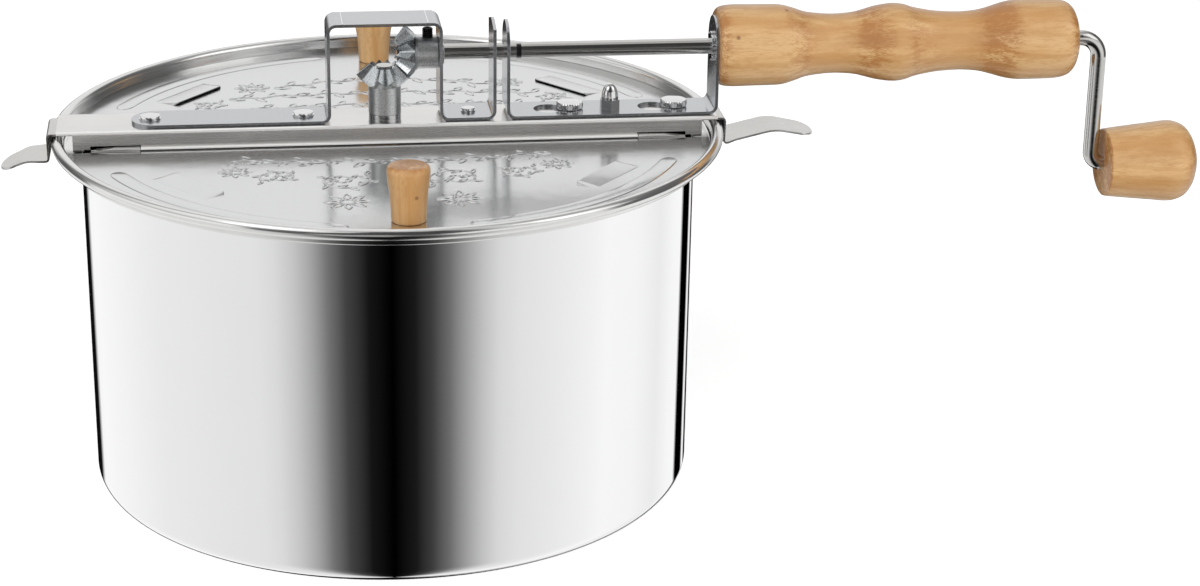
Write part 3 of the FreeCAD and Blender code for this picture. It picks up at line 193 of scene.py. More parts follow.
# %% [markdown]
# A turned grip shows how its blank lay in the tree. The growth rings are cylinders round a pith that
# lies outside the bar, so the lathe's waists and swells draw their own curved bands. The fibres are
# noise, drawn out along the grain. A small share of the undrawn place is added to them, because a
# real streak ends after a while. Knots are rare dots, one in some of the pattern's cells.

# %% Shader group: turned wood
turned_wood, given, result = new_group(
    "Turned wood", "ShaderNodeTree",
    [("Flow", VECTOR, (0.04, 1.0, 1.0)), ("Pith", VECTOR, (0.0, 0.0, 0.0)),
     ("Ring width", FLOAT, 2.6 * MM), ("Waver", FLOAT, 3.0 * MM), ("Seed", FLOAT, 0.0)],
    [("Rings", FLOAT), ("Fibres", FLOAT), ("Figure", FLOAT), ("Knots", FLOAT)])


def scaled(tree, vector, factor):
    """A vector made longer, which makes a pattern finer."""
    return add_node(tree, "ShaderNodeVectorMath", {"operation": "SCALE"}, _0=vector,
                    Scale=factor).outputs[0]


def spots_of(tree, vector, inner, outer):
    """Small round marks, one in some of the pattern's cells."""
    distance = add_node(tree, "ShaderNodeTexVoronoi", {"feature": "F1"}, Vector=vector,
                        Scale=1.0).outputs["Distance"]
    return add_node(tree, "ShaderNodeMapRange", {"interpolation_type": "SMOOTHSTEP"},
                    Value=distance, From_Min=inner, From_Max=outer, To_Min=1.0,
                    To_Max=0.0).outputs[0]


UNDRAWN_SHARE = 0.12
FINE_FIBRES, COARSE_FIBRES = 2600.0, 700.0  # fibres to the metre across the grain
FIGURE_SCALE, WANDER_SCALE, KNOT_SCALE = 130.0, 30.0, 52.0
spot = add_node(turned_wood, "ShaderNodeTexCoord").outputs["Object"]
seed = given.outputs["Seed"]
moved = add_node(turned_wood, "ShaderNodeVectorMath", {"operation": "SUBTRACT"},
                 _0=spot, _1=given.outputs["Pith"]).outputs[0]
drawn = add_node(turned_wood, "ShaderNodeVectorMath", {"operation": "MULTIPLY"},
                 _0=moved, _1=given.outputs["Flow"]).outputs[0]
wander = maths(turned_wood, "MULTIPLY", noise(turned_wood, moved, WANDER_SCALE, seed, 3.0),
               given.outputs["Waver"])
reach = add_node(turned_wood, "ShaderNodeVectorMath", {"operation": "LENGTH"},
                 _0=drawn).outputs["Value"]
years = maths(turned_wood, "DIVIDE", maths(turned_wood, "ADD", reach, wander),
              given.outputs["Ring width"])
swing = maths(turned_wood, "SINE", maths(turned_wood, "MULTIPLY", years, 2 * math.pi))
rings = add_node(turned_wood, "ShaderNodeMapRange", {"interpolation_type": "SMOOTHSTEP"},
                 Value=swing, From_Min=0.45, From_Max=1.0).outputs[0]
short_drawn = add_node(turned_wood, "ShaderNodeVectorMath", {"operation": "ADD"}, _0=drawn,
                       _1=scaled(turned_wood, moved, UNDRAWN_SHARE)).outputs[0]
fine = noise(turned_wood, scaled(turned_wood, short_drawn, FINE_FIBRES), 1.0, seed, 3.0)
coarse = noise(turned_wood, scaled(turned_wood, short_drawn, COARSE_FIBRES), 1.0, seed, 3.0)
fibres = maths(turned_wood, "MULTIPLY", maths(turned_wood, "ADD", fine, coarse), 0.5)
figure = noise(turned_wood, scaled(turned_wood, short_drawn, FIGURE_SCALE), 1.0, seed, 5.0)
knots = spots_of(turned_wood, scaled(turned_wood, moved, KNOT_SCALE), 0.02, 0.065)
for label, value in (("Rings", rings), ("Fibres", fibres), ("Figure", figure), ("Knots", knots)):
    turned_wood.links.new(value, result.inputs[label])
print(turned_wood.name, len(turned_wood.nodes), "nodes")

# %% [markdown]
# Metal is one recipe with different numbers. Its colour is what it mirrors back, so the base
# colour is pale, Metallic is one, and the roughness decides between a mirror and satin. The groups
# above move the roughness and the bump by small amounts, because an even roughness looks like
# plastic film. Each finish below states its own numbers.

# %% Recipe for a metal finish
def new_material(name):
    """Starts a material and gives its tree and its Principled shader."""
    material = bpy.data.materials.new(name)
    material.use_nodes = True
    return material, material.node_tree, material.node_tree.nodes["Principled BSDF"]


def metal_finish(name, colour, roughness, spread, texture, bump, dark, waves=0.0, **sizes):
    """Metal whose texture group varies its tone, roughness and bump.

    The roughness varies by the spread to both sides, the tone falls to the dark share of the
    colour in patches, and bump and waves are heights. The sizes are the texture's own inputs."""
    material, tree, shader = new_material(name)
    shader.inputs["Metallic"].default_value = 1.0
    group = tree.nodes.new("ShaderNodeGroup")
    group.node_tree = texture
    for label, value in sizes.items():
        group.inputs[label.replace("_", " ")].default_value = value
    fine, patches, slow = (group.outputs[index] for index in range(3))
    rough = add_node(tree, "ShaderNodeMapRange", None, Value=fine, From_Min=0.3, From_Max=0.7,
                     To_Min=roughness - spread, To_Max=roughness + spread).outputs[0]
    tree.links.new(rough, shader.inputs["Roughness"])
    shade = [channel * dark for channel in colour] + [1.0]
    tone = mix_colour(tree, patches, list(colour) + [1.0], shade)
    tree.links.new(tone, shader.inputs["Base Color"])
    raised = add_node(tree, "ShaderNodeBump", None, Height=fine, Strength=1.0, Distance=bump)
    if waves:
        raised = add_node(tree, "ShaderNodeBump", None, Height=slow, Strength=1.0,
                          Distance=waves, Normal=raised.outputs[0])
    tree.links.new(raised.outputs[0], shader.inputs["Normal"])
    return material

# %% [markdown]
# The popper's sheet metal has several finishes. The pot is the only true mirror. The crossbar has
# four looks in one folded strip: a satin top, duller flanges, folds with a painted highlight, and
# rolls round the hinge wires painted darker as shade. The flanges are less than fully metallic, so
# part of their light is scattered, as fine scratches scatter it, and they stay pale where the room
# is dark. The folds are a painted highlight: a near-white colour, only half metallic, that stays
# pale where the room is dark.

# %% Finishes of the sheet metal
LENGTHWAYS = (14.0, 1500.0, 1500.0)
polished_pot = metal_finish("polished_pot", (0.93, 0.93, 0.935), 0.03, 0.01, brushed_lines,
                            0.0, 0.98, Stretch=(1.0, 1.0, 900.0), Seed=1.0)
rolled_rim = metal_finish("rolled_rim", (0.86, 0.855, 0.845), 0.15, 0.05, brushed_lines,
                          0.012 * MM, 0.8, 0.06 * MM, Stretch=(70.0, 70.0, 2600.0), Seed=2.0)
satin_bar = metal_finish("satin_bar", (0.80, 0.79, 0.775), 0.15, 0.08, brushed_lines,
                         0.010 * MM, 0.86, 0.05 * MM, Stretch=LENGTHWAYS, Seed=3.0)
folded_flange = metal_finish("folded_flange", (0.66, 0.645, 0.625), 0.26, 0.08, brushed_lines,
                             0.010 * MM, 0.84, 0.05 * MM, Stretch=LENGTHWAYS, Seed=3.5)
# Painted highlight: a near-white, half-metallic colour for the crossbar's folds and the tops of its
# rolls.
burnished_fold = metal_finish("burnished_fold", (0.95, 0.94, 0.92), 0.24, 0.04, brushed_lines,
                              0.004 * MM, 0.94, Stretch=LENGTHWAYS, Seed=3.7)
for finish, metallic in ((folded_flange, 0.75), (burnished_fold, 0.45)):
    finish.node_tree.nodes["Principled BSDF"].inputs["Metallic"].default_value = metallic
# Painted shade: a darker copy of the crossbar's sheet for the rolls round the hinge wires.
hinge_roll = metal_finish("hinge_roll", (0.50, 0.49, 0.48), 0.08, 0.03, brushed_lines, 0.006 * MM,
                          0.85, Stretch=LENGTHWAYS, Seed=3.9)
lid_sheet = metal_finish("lid_sheet", (0.73, 0.735, 0.735), 0.18, 0.04, metal_grit, 0.006 * MM,
                         0.93, 0.10 * MM, Grain_size=0.5 * MM, Wave_size=11 * MM, Seed=4.0)
plated_strap = metal_finish("plated_strap", (0.54, 0.55, 0.57), 0.20, 0.05, metal_grit,
                            0.004 * MM, 0.94, 0.03 * MM, Grain_size=0.35 * MM, Seed=5.0)
print("sheet finishes:", ", ".join(material.name for material in bpy.data.materials))

# %% [markdown]
# The small parts are drawn, cast or plated. Drawn rod and spring strip keep the long lines of the
# die. The gears are cast, so their teeth have a grain and their hubs a rougher one. Nuts, rivets
# and screws are nickel plated, and the set screw is blackened.

# %% Finishes of the small metal parts
spring_strip = metal_finish("spring_strip", (0.66, 0.65, 0.63), 0.22, 0.07, brushed_lines,
                            0.008 * MM, 0.85, 0.05 * MM, Stretch=LENGTHWAYS, Seed=6.0)
drawn_rod = metal_finish("drawn_rod", (0.66, 0.65, 0.63), 0.12, 0.05, brushed_lines,
                         0.003 * MM, 0.85, Stretch=LENGTHWAYS, Seed=7.0)
cast_gear = metal_finish("cast_gear", (0.66, 0.68, 0.69), 0.22, 0.07, metal_grit, 0.02 * MM,
                         0.62, Grain_size=0.55 * MM, Seed=8.0)
gear_hub = metal_finish("gear_hub", (0.74, 0.75, 0.75), 0.36, 0.08, metal_grit, 0.03 * MM, 0.6,
                        Grain_size=0.6 * MM, Seed=8.5)
# Painted shade: a darker nickel for the acorn nut's six flat sides.
dark_nickel = metal_finish("dark_nickel", (0.26, 0.26, 0.26), 0.20, 0.02, metal_grit, 0.002 * MM,
                           0.9, Grain_size=0.3 * MM, Seed=9.5)
bright_nickel = metal_finish("bright_nickel", (0.80, 0.80, 0.80), 0.09, 0.03, metal_grit,
                             0.003 * MM, 0.9, Grain_size=0.3 * MM, Seed=9.0)
# Black oxide for the set screw; the same black also stands in as painted shade in the crank's
# coupling gap.
black_oxide = metal_finish("black_oxide", (0.035, 0.035, 0.037), 0.38, 0.08, metal_grit,
                           0.006 * MM, 1.3, Grain_size=0.2 * MM, Seed=10.0)
print("finishes so far:", len(bpy.data.materials))

# %% [markdown]
# The grips are one pale, close-grained hardwood under a clear lacquer. The wood is not metallic,
# so its colour comes from masks, mixed from straw to warm brown. Where the lathe cuts a slope, the
# fibres are met end on and drink in more lacquer, so the slope turns brown. That depends on the
# shape, so the material reads it from an attribute called end_grain. The lacquer is a coat: a
# second, glossier surface over the first.

# %% Recipe for the lacquered wood
STRAW = (0.73, 0.455, 0.205, 1.0)
HONEY = (0.57, 0.29, 0.095, 1.0)
BROWN = (0.43, 0.17, 0.035, 1.0)
KNOT = (0.20, 0.075, 0.025, 1.0)


def lacquered_wood(name, flow, pith, ring_width, seed):
    """Turned hardwood with faint growth rings, long fibres and a gloss lacquer."""
    material, tree, shader = new_material(name)
    group = tree.nodes.new("ShaderNodeGroup")
    group.node_tree = turned_wood
    for label, value in (("Flow", flow), ("Pith", pith), ("Ring width", ring_width),
                         ("Seed", seed)):
        group.inputs[label].default_value = value

    def share(source, low, high, most):
        """Part of a mask between two levels, as a share for mixing."""
        return add_node(tree, "ShaderNodeMapRange", {"interpolation_type": "SMOOTHSTEP"},
                        Value=source, From_Min=low, From_Max=high, To_Min=0.0,
                        To_Max=most).outputs[0]

    end_grain = add_node(tree, "ShaderNodeAttribute",
                         {"attribute_name": "end_grain"}).outputs["Fac"]
    body = mix_colour(tree, share(group.outputs["Figure"], 0.34, 0.66, 0.85), STRAW, HONEY)
    body = mix_colour(tree, share(group.outputs["Rings"], 0.0, 1.0, 0.40), body, HONEY)
    body = mix_colour(tree, share(group.outputs["Fibres"], 0.42, 0.66, 0.70), body, HONEY)
    thirst = maths(tree, "ADD", share(group.outputs["Figure"], 0.35, 0.65, 0.7),
                   share(group.outputs["Fibres"], 0.35, 0.65, 0.9))
    soaked = maths(tree, "MULTIPLY", end_grain, thirst)
    body = mix_colour(tree, share(soaked, 0.05, 1.0, 0.85), body, BROWN)
    body = mix_colour(tree, share(group.outputs["Knots"], 0.0, 1.0, 0.7), body, KNOT)
    tree.links.new(body, shader.inputs["Base Color"])
    rough = add_node(tree, "ShaderNodeMapRange", None, Value=group.outputs["Fibres"],
                     To_Min=0.34, To_Max=0.48).outputs[0]
    tree.links.new(rough, shader.inputs["Roughness"])
    raised = add_node(tree, "ShaderNodeBump", None, Height=group.outputs["Fibres"], Strength=1.0,
                      Distance=0.03 * MM)
    tree.links.new(raised.outputs[0], shader.inputs["Normal"])
    shader.inputs["Coat Weight"].default_value = 0.5
    shader.inputs["Coat Roughness"].default_value = 0.2
    return material

# %% [markdown]
# Each grip stores how squarely its surface cuts the fibres, which follows from the slope of its side
# line. A blank leans a little in the lathe, so slopes that face one way are browner than those that
# face the other. Every grip also has a blank of its own: another pith, ring width and seed.

# %% Mark the end grain and choose the blanks
def mark_end_grain(piece, axis, towards=3.4, away=1.7):
    """Stores how squarely each spot cuts the fibres. The blank leaned, so one way cuts more."""
    layer = piece.data.attributes.new("end_grain", "FLOAT", "POINT")
    for vertex, value in zip(piece.data.vertices, layer.data):
        slope = vertex.normal.dot(axis)
        value.value = min(1.0, -slope * towards if slope < 0 else slope * away)


ALONG_X = (0.05, 1.0, 1.0)
ALONG_Z = (1.0, 1.0, 0.05)
handle_wood = lacquered_wood("handle_wood", ALONG_X, (0.2, 0.030, 0.146), 4.4 * MM, 1.0)
crank_knob_wood = lacquered_wood("crank_knob_wood", ALONG_X, (0.3, -0.028, 0.140), 4.6 * MM, 2.0)
front_knob_wood = lacquered_wood("front_knob_wood", ALONG_Z, (0.016, -0.120, 0.14), 3.4 * MM, 3.0)
rear_knob_wood = lacquered_wood("rear_knob_wood", ALONG_Z, (-0.018, 0.115, 0.14), 3.4 * MM, 4.0)
print("all finishes:", len(bpy.data.materials))

# %% [markdown]
# Turned things, such as the pot, the handle and the knobs, are a side line swept round an axis.
# Blender's Screw modifier could do it, and so could a script, but a Geometry Nodes tree shows the
# rule plainly: a circle, the side line carried round it, and the seam welded. The side line is
# drawn as (distance from the axis, distance along it).

# %% Geometry Nodes tree: the lathe
GEOMETRY, INTEGER, MATERIAL = "NodeSocketGeometry", "NodeSocketInt", "NodeSocketMaterial"
LATHE_RING = 50 * MM  # any radius works: the side line is moved back by as much

lathe, given, result = new_group(
    "Lathe", "GeometryNodeTree",
    [("Geometry", GEOMETRY, None), ("Segments", INTEGER, 64), ("Material", MATERIAL, None)],
    [("Geometry", GEOMETRY)])
line = add_node(lathe, "GeometryNodeMeshToCurve", None, Mesh=given.outputs["Geometry"]).outputs[0]
line = add_node(lathe, "GeometryNodeTransform", None, Geometry=line,
                Translation=(-LATHE_RING, 0, 0), Scale=(1, -1, 1)).outputs[0]
ring = add_node(lathe, "GeometryNodeCurvePrimitiveCircle", None,
                Resolution=given.outputs["Segments"], Radius=LATHE_RING).outputs[0]
ring = add_node(lathe, "GeometryNodeSetCurveNormal", {"mode": "Z_UP"}, Curve=ring).outputs[0]
skin = add_node(lathe, "GeometryNodeCurveToMesh", None, Curve=ring, Profile_Curve=line).outputs[0]
skin = add_node(lathe, "GeometryNodeMergeByDistance", None, Geometry=skin,
                Distance=0.002 * MM).outputs[0]
skin = add_node(lathe, "GeometryNodeRealizeInstances", None, Geometry=skin).outputs[0]
skin = add_node(lathe, "GeometryNodeSetMaterial", None, Geometry=skin,
                Material=given.outputs["Material"]).outputs[0]
lathe.links.new(skin, result.inputs["Geometry"])
print(lathe.name, len(lathe.nodes), "nodes")

# %% [markdown]
# A Geometry Nodes modifier can stay live, but a finished piece should be a plain mesh that any
# program can read. The helper sets the tree's inputs by their identifiers, takes the mesh that the
# tree makes, and removes the modifier. The same step also settles Bevel and Boolean modifiers.

# %% Helpers that run a tree and keep its mesh
def link_object(name, mesh):
    """Puts a mesh into the scene under a name."""
    piece = bpy.data.objects.new(name, mesh)
    bpy.context.scene.collection.objects.link(piece)
    return piece


def bake_modifiers(piece):
    """Replaces a piece's mesh by what its modifiers make of it, and removes them."""
    depsgraph = bpy.context.evaluated_depsgraph_get()
    mesh = bpy.data.meshes.new_from_object(piece.evaluated_get(depsgraph))
    piece.modifiers.clear()
    piece.data = mesh
    return piece


def run_tree(piece, tree, **values):
    """Adds a Geometry Nodes modifier, sets its named inputs and keeps the resulting mesh."""
    modifier = piece.modifiers.new(tree.name, "NODES")
    modifier.node_group = tree
    for item in tree.interface.items_tree:
        label = item.name.replace(" ", "_")
        if item.in_out == "INPUT" and label in values:
            modifier[item.identifier] = values[label]
    return bake_modifiers(piece)

# %% [markdown]
# Two things spoil a bare mesh: faces that point inwards, and smooth shading that runs round a
# corner. One helper turns the faces and one marks the sharp edges. A third weighs the shading by the
# size of each face, because a narrow rounded edge would otherwise smear its shade over a flat.

# %% Helpers for faces and shading
def face_outwards(piece):
    """Turns every face of a closed mesh to the outside."""
    work = bmesh.new()
    work.from_mesh(piece.data)
    bmesh.ops.recalc_face_normals(work, faces=work.faces)
    work.to_mesh(piece.data)
    work.free()


def shade_by_angle(piece, degrees):
    """Smooth shading, except across edges sharper than the angle."""
    piece.data.shade_smooth()
    work = bmesh.new()
    work.from_mesh(piece.data)
    for edge in work.edges:
        sharp = len(edge.link_faces) == 2 and edge.calc_face_angle() > math.radians(degrees)
        edge.smooth = not sharp
    work.to_mesh(piece.data)
    work.free()


def keep_flats_flat(piece):
    """Lets the largest faces decide the shading, so a rounded edge can't smear over a flat."""
    weighted = piece.modifiers.new("Weighted normals", "WEIGHTED_NORMAL")
    weighted.keep_sharp = True
    bake_modifiers(piece)

# %% [markdown]
# Every finished piece rides on a body of the engineering model and may stand for one or more of the
# model's parts, which are then hidden. One line per piece does both.

# %% Helper that hands a piece over
def dress(piece, body, slot, *replaced):
    """Makes a finished piece ride on its body and hides the parts it stands for. The slot is not
    used.
    """
    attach(piece, body)
    if replaced:
        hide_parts(*replaced)
    print(piece.name, len(piece.data.polygons), "faces")

# %% [markdown]
# A side line is made of straight runs, of arcs, and of smooth lines through a few stations, the way
# a turner works from measured diameters. The smooth line passes through each station in the
# direction of its two neighbours, so no handles have to be placed.

# %% Helpers that draw an outline and turn it
def turned_piece(name, outline, material, segments=96, closed=False, place=None, sharp=40):
    """Turns an outline of (radius, distance along the axis) points on the lathe."""
    mesh = bpy.data.meshes.new(name)
    points = [(radius, along, 0.0) for radius, along in outline]
    links = [(index, index + 1) for index in range(len(points) - 1)]
    if closed:
        links.append((len(points) - 1, 0))
    mesh.from_pydata(points, links, [])
    piece = link_object(name, mesh)
    run_tree(piece, lathe, Segments=segments, Material=material)
    if place is not None:
        piece.data.transform(place)
    face_outwards(piece)
    shade_by_angle(piece, sharp)
    return piece


def arc(centre, radius, start, end, steps):
    """Points on an arc, as (radius, height) pairs, between two angles in degrees."""
    points = []
    for step in range(steps + 1):
        angle = math.radians(start + (end - start) * step / steps)
        points.append((centre[0] + radius * math.cos(angle), centre[1] + radius * math.sin(angle)))
    return points


def smooth_line(stations, steps):
    """A smooth line through stations, with each tangent taken from its neighbours."""
    points = []
    count = len(stations)
    for index in range(count - 1):
        before = Vector(stations[max(index - 1, 0)])
        start = Vector(stations[index])
        end = Vector(stations[index + 1])
        after = Vector(stations[min(index + 2, count - 1)])
        for step in range(steps):
            share = step / steps
            out = 0.5 * (2 * start + (end - before) * share
                         + (2 * before - 5 * start + 4 * end - after) * share ** 2
                         + (3 * start - before - 3 * end + after) * share ** 3)
            points.append((out.x, out.y))
    points.append(tuple(stations[-1]))
    return points


print("a quarter of a circle in 8 steps:", len(arc((0.0, 0.0), 1.0, 0, 90, 8)), "points")

# %% [markdown]
# The pot is the main turned piece. It is spun from 0.8 mm steel: a flat base with a generous
# corner, a wall that widens a little, a ledge for the lid, and a rim rolled outwards round itself.
# It mirrors everything, so facets would show at once. It gets three hundred segments, and each
# corner of its side line is an arc.

# %% Turn the pot
pot_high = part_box("pot")[1]
RIM_OUTSIDE = pot_high.x
BEAD = 2.2 * MM
WALL = 0.8 * MM
LEDGE = 133.0 * MM
LEDGE_WIDTH = 6.6 * MM
BASE_TAPER = 0.4 * MM
BASE_CORNER = 6.0 * MM
bead_centre = (RIM_OUTSIDE - BEAD, pot_high.z - BEAD)
rim_inside = RIM_OUTSIDE - 2 * BEAD
wall_outside = rim_inside - LEDGE_WIDTH
base_outside = wall_outside - BASE_TAPER
rim_wall = rim_inside + WALL
meets = math.degrees(math.asin(math.sqrt(1 - ((bead_centre[0] - rim_wall) / BEAD) ** 2)))
SMALL = 0.9 * MM  # bend radius where the wall turns into the ledge

pot_line = [(0.0, 0.0)]
pot_line += arc((base_outside - BASE_CORNER, BASE_CORNER), BASE_CORNER, -90, 0, 14)
pot_line += [(wall_outside, LEDGE - WALL - 2.4 * SMALL)]
pot_line += arc((wall_outside + SMALL, LEDGE - WALL - SMALL), SMALL, 180, 90, 5)
pot_line += arc((rim_wall - SMALL, LEDGE - WALL + SMALL), SMALL, -90, 0, 5)
pot_line += arc(bead_centre, BEAD, -180 + meets, 180, 40)
pot_line += arc((rim_inside - SMALL, LEDGE + SMALL), SMALL, 0, -90, 5)
pot_line += arc((wall_outside - WALL + SMALL, LEDGE - SMALL), SMALL, 90, 180, 5)
pot_line += [(base_outside - WALL, BASE_CORNER)]
inner_corner = BASE_CORNER - WALL
pot_line += arc((base_outside - BASE_CORNER, BASE_CORNER), inner_corner, 0, -90, 12)[1:]
pot_line += [(0.0, WALL)]
pot = turned_piece("popper_pot", pot_line, polished_pot, segments=300, closed=True, sharp=50)
pot.data.materials.append(rolled_rim)
for face in pot.data.polygons:
    above_wall = face.center.z > LEDGE - 1.2 * WALL
    face.material_index = int(above_wall)
dress(pot, "pot", "polished_steel", "pot")

# %% [markdown]
# Bent and machined pieces keep the engineering model's shape, but their edges are knife sharp
# there, and real sheet never is. A copy of each mesh is welded, its flat faces are joined again,
# and a Bevel modifier rounds every sharp edge, so that a thin line of light runs along it. Sharp
# edges are marked by a weight first, so that gentle bends, which a step before may have cut into
# the copy, stay as they are.

# %% Helper that rounds the edges of a machined piece
WELD = 0.0005 * MM
FLAT_ANGLE = math.radians(0.6)
SHARP_ANGLE = math.radians(28)


def soften(node, material, width, prepare=None):
    """Copy of a node with rounded edges. A prepare step may shape the welded copy first."""
    piece = link_object("soft_" + node, nodes[node].data.copy())
    work = bmesh.new()
    work.from_mesh(piece.data)
    bmesh.ops.remove_doubles(work, verts=work.verts, dist=WELD)
    bmesh.ops.dissolve_limit(work, angle_limit=FLAT_ANGLE, verts=work.verts, edges=work.edges)
    if prepare:
        prepare(work)
    weight = work.edges.layers.float.get("bevel_weight_edge")
    weight = weight or work.edges.layers.float.new("bevel_weight_edge")
    for edge in work.edges:
        if len(edge.link_faces) == 2 and edge.calc_face_angle() > SHARP_ANGLE:
            edge[weight] = 1.0
    work.to_mesh(piece.data)
    work.free()
    bevel = piece.modifiers.new("Rounded edges", "BEVEL")
    bevel.limit_method = "WEIGHT"
    bevel.width = width
    bevel.segments = 2
    bake_modifiers(piece)
    piece.data.materials.clear()
    piece.data.materials.append(material)
    shade_by_angle(piece, 42)
    keep_flats_flat(piece)
    return piece

# %% [markdown]
# The crossbar is one folded strip: a flat top, two flanges that hang down, and a roll at the foot of
# each for a hinge wire. A fold in sheet is wider than a sheared edge, and it is round, so the bevel
# alone can't make it. The copy is cut at a few angles of the fold, and its corners are laid on an
# arc. Each face then takes its finish from where it lies and where it points: the rolls get a darker
# colour as painted shade, and the folds and the tops of the rolls a pale one as a painted highlight.

# %% Fold the crossbar
bar_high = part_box("crossbar")[1]
FOLD_RADIUS = 1.4 * MM
FLANGE_SIDE = 12.4 * MM
ROLL_TOP = 135.5 * MM
fold_side, fold_top = FLANGE_SIDE - FOLD_RADIUS, bar_high.z - FOLD_RADIUS


def bend_top_folds(work):
    """Lays the sheet's two top corners on arcs, with a cut for every step of the arc."""
    cuts = [((0, way * (fold_side + FOLD_RADIUS * math.sin(math.radians(angle))), 0), (0, 1, 0))
            for way in (-1, 1) for angle in (0, 15, 30)]
    cuts += [((0, 0, fold_top + FOLD_RADIUS * math.cos(math.radians(angle))), (0, 0, 1))
             for angle in (60, 75, 90)]
    for place, normal in cuts:
        bmesh.ops.bisect_plane(work, geom=work.verts[:] + work.edges[:] + work.faces[:],
                               plane_co=place, plane_no=normal, dist=0.001 * MM)
    near = 0.01 * MM
    for vertex in work.verts:
        aside, above = abs(vertex.co.y) - fold_side, vertex.co.z - fold_top
        if min(aside, above) < -0.2 * near or max(aside, above) < FOLD_RADIUS - near:
            continue
        if abs(aside - above) < near:
            angle = math.radians(45)
        elif above > aside:
            angle = math.asin(min(1.0, max(0.0, aside / FOLD_RADIUS)))
        else:
            angle = math.acos(min(1.0, max(0.0, above / FOLD_RADIUS)))
        vertex.co.y = math.copysign(fold_side + FOLD_RADIUS * math.sin(angle), vertex.co.y)
        vertex.co.z = fold_top + FOLD_RADIUS * math.cos(angle)


def bar_finish(face):
    """Slot of a face: 0 top, 1 flange, 2 roll in painted shade, 3 painted highlight on a fold or a
    roll's top.
    """
    aside, upwards = abs(face.normal.y), face.normal.z
    if face.center.z < ROLL_TOP:
        return 3 if upwards > 0.55 else 2
    if aside > 0.97:
        return 1
    return 3 if aside > 0.1 and upwards > 0.35 else 0


crossbar = soften("crossbar", satin_bar, 0.12 * MM, bend_top_folds)
# The rolls take a painted shade, and the folds and the rolls' tops a painted highlight.
for finish in (folded_flange, hinge_roll, burnished_fold):
    crossbar.data.materials.append(finish)
for face in crossbar.data.polygons:
    face.material_index = bar_finish(face)
dress(crossbar, "lid_frame", "satin_steel", "crossbar")

# %% [markdown]
# Some parts are joined from small solids, which is quicker to place than cuts in one mesh. A box
# between two corners, rounded on its sharp edges, is the solid that is needed most, and a join
# leaves one piece with one finish.

# %% Helpers for small solids
def box_mesh(name, low, high):
    """Box between two corners."""
    mesh = bpy.data.meshes.new(name)
    work = bmesh.new()
    bmesh.ops.create_cube(work, size=1.0)
    for vertex in work.verts:
        for axis in range(3):
            ends = sorted((low[axis], high[axis]))
            vertex.co[axis] = ends[1] if vertex.co[axis] > 0 else ends[0]
    work.to_mesh(mesh)
    work.free()
    return link_object(name, mesh)


def join_pieces(name, parts, material):
    """Joins meshes into one piece with one finish."""
    work = bmesh.new()
    for part in parts:
        work.from_mesh(part.data)
    mesh = bpy.data.meshes.new(name)
    work.to_mesh(mesh)
    work.free()
    for part in parts:
        bpy.data.objects.remove(part)
    mesh.materials.append(material)
    for face in mesh.polygons:
        face.material_index = 0
    return link_object(name, mesh)


def round_off(piece, width, degrees=30):
    """Rounds every edge sharper than the angle."""
    bevel = piece.modifiers.new("Rounded edges", "BEVEL")
    bevel.width = width
    bevel.segments = 2
    bevel.limit_method = "ANGLE"
    bevel.angle_limit = math.radians(degrees)
    bake_modifiers(piece)
    shade_by_angle(piece, 40)

# %% [markdown]
# The gear bracket is one strap, bent up into a bridge over the gears. The press leaves a faint ridge
# across the bridge beside each of its bends. The ridges are low boxes that stand a tenth of a
# millimetre proud, and their tops are painted bright nickel as a highlight line.

# %% Bridge over the gears
bracket_low, bracket_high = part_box("gear_bracket")
RIDGE_PLACES = (-17.7 * MM, 14.2 * MM)
RIDGE_HALF = 0.22 * MM
RIDGE_ROOT, RIDGE_PROUD = 0.3 * MM, 0.10 * MM
RIDGE_INSET = 0.6 * MM
bridge = [soften("gear_bracket", plated_strap, 0.2 * MM)]
for place in RIDGE_PLACES:
    low = (place - RIDGE_HALF, bracket_low.y + RIDGE_INSET, bracket_high.z - RIDGE_ROOT)
    high = (place + RIDGE_HALF, bracket_high.y - RIDGE_INSET, bracket_high.z + RIDGE_PROUD)
    ridge = box_mesh("ridge", low, high)
    round_off(ridge, 0.10 * MM)
    bridge.append(ridge)
gear_bracket = join_pieces("soft_gear_bracket_pressed", bridge, plated_strap)
shade_by_angle(gear_bracket, 42)
keep_flats_flat(gear_bracket)
# The ridge tops take the bright nickel as a painted highlight line.
gear_bracket.data.materials.append(bright_nickel)
for face in gear_bracket.data.polygons:
    face.material_index = int(face.center.z > bracket_high.z + 0.02 * MM)
dress(gear_bracket, "lid_frame", "zinc_strap", "gear_bracket")

# %% [markdown]
# The handle bracket is a second strap, with two upright ears. The spring clips are tempered strip: a
# leaf under the crossbar's end and a lever for the finger. A lever spreads towards its tip. The
# engineering model holds it as a plain strip, so here each point moves away from the middle line,
# the more the further out it lies.

# %% Handle bracket and spring clips
LEVER_ROOT = 129 * MM
LEVER_SPREAD = 0.55
dress(soften("handle_bracket", plated_strap, 0.2 * MM), "lid_frame", "zinc_strap",
      "handle_bracket")
for strip in ("clip_leaf_left", "clip_leaf_right"):
    dress(soften(strip, spring_strip, 0.12 * MM), "lid_frame", "spring_steel", strip)
for strip, body in (("clip_lever_left", "left_clip"), ("clip_lever_right", "right_clip")):
    lever = soften(strip, spring_strip, 0.14 * MM)
    low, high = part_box(strip)
    reach = max(abs(low.x), abs(high.x))
    for vertex in lever.data.vertices:
        share = max(0.0, (abs(vertex.co.x) - LEVER_ROOT) / (reach - LEVER_ROOT))
        vertex.co.y *= 1 + LEVER_SPREAD * share
    dress(lever, body, "spring_steel", strip)

# %% [markdown]
# The two miter gears are cast. Their teeth keep the smoother skin of the die, and their hubs are
# duller, so the hub's faces get a second finish. How far along the gear's axis a face lies says
# whether it belongs to the hub.

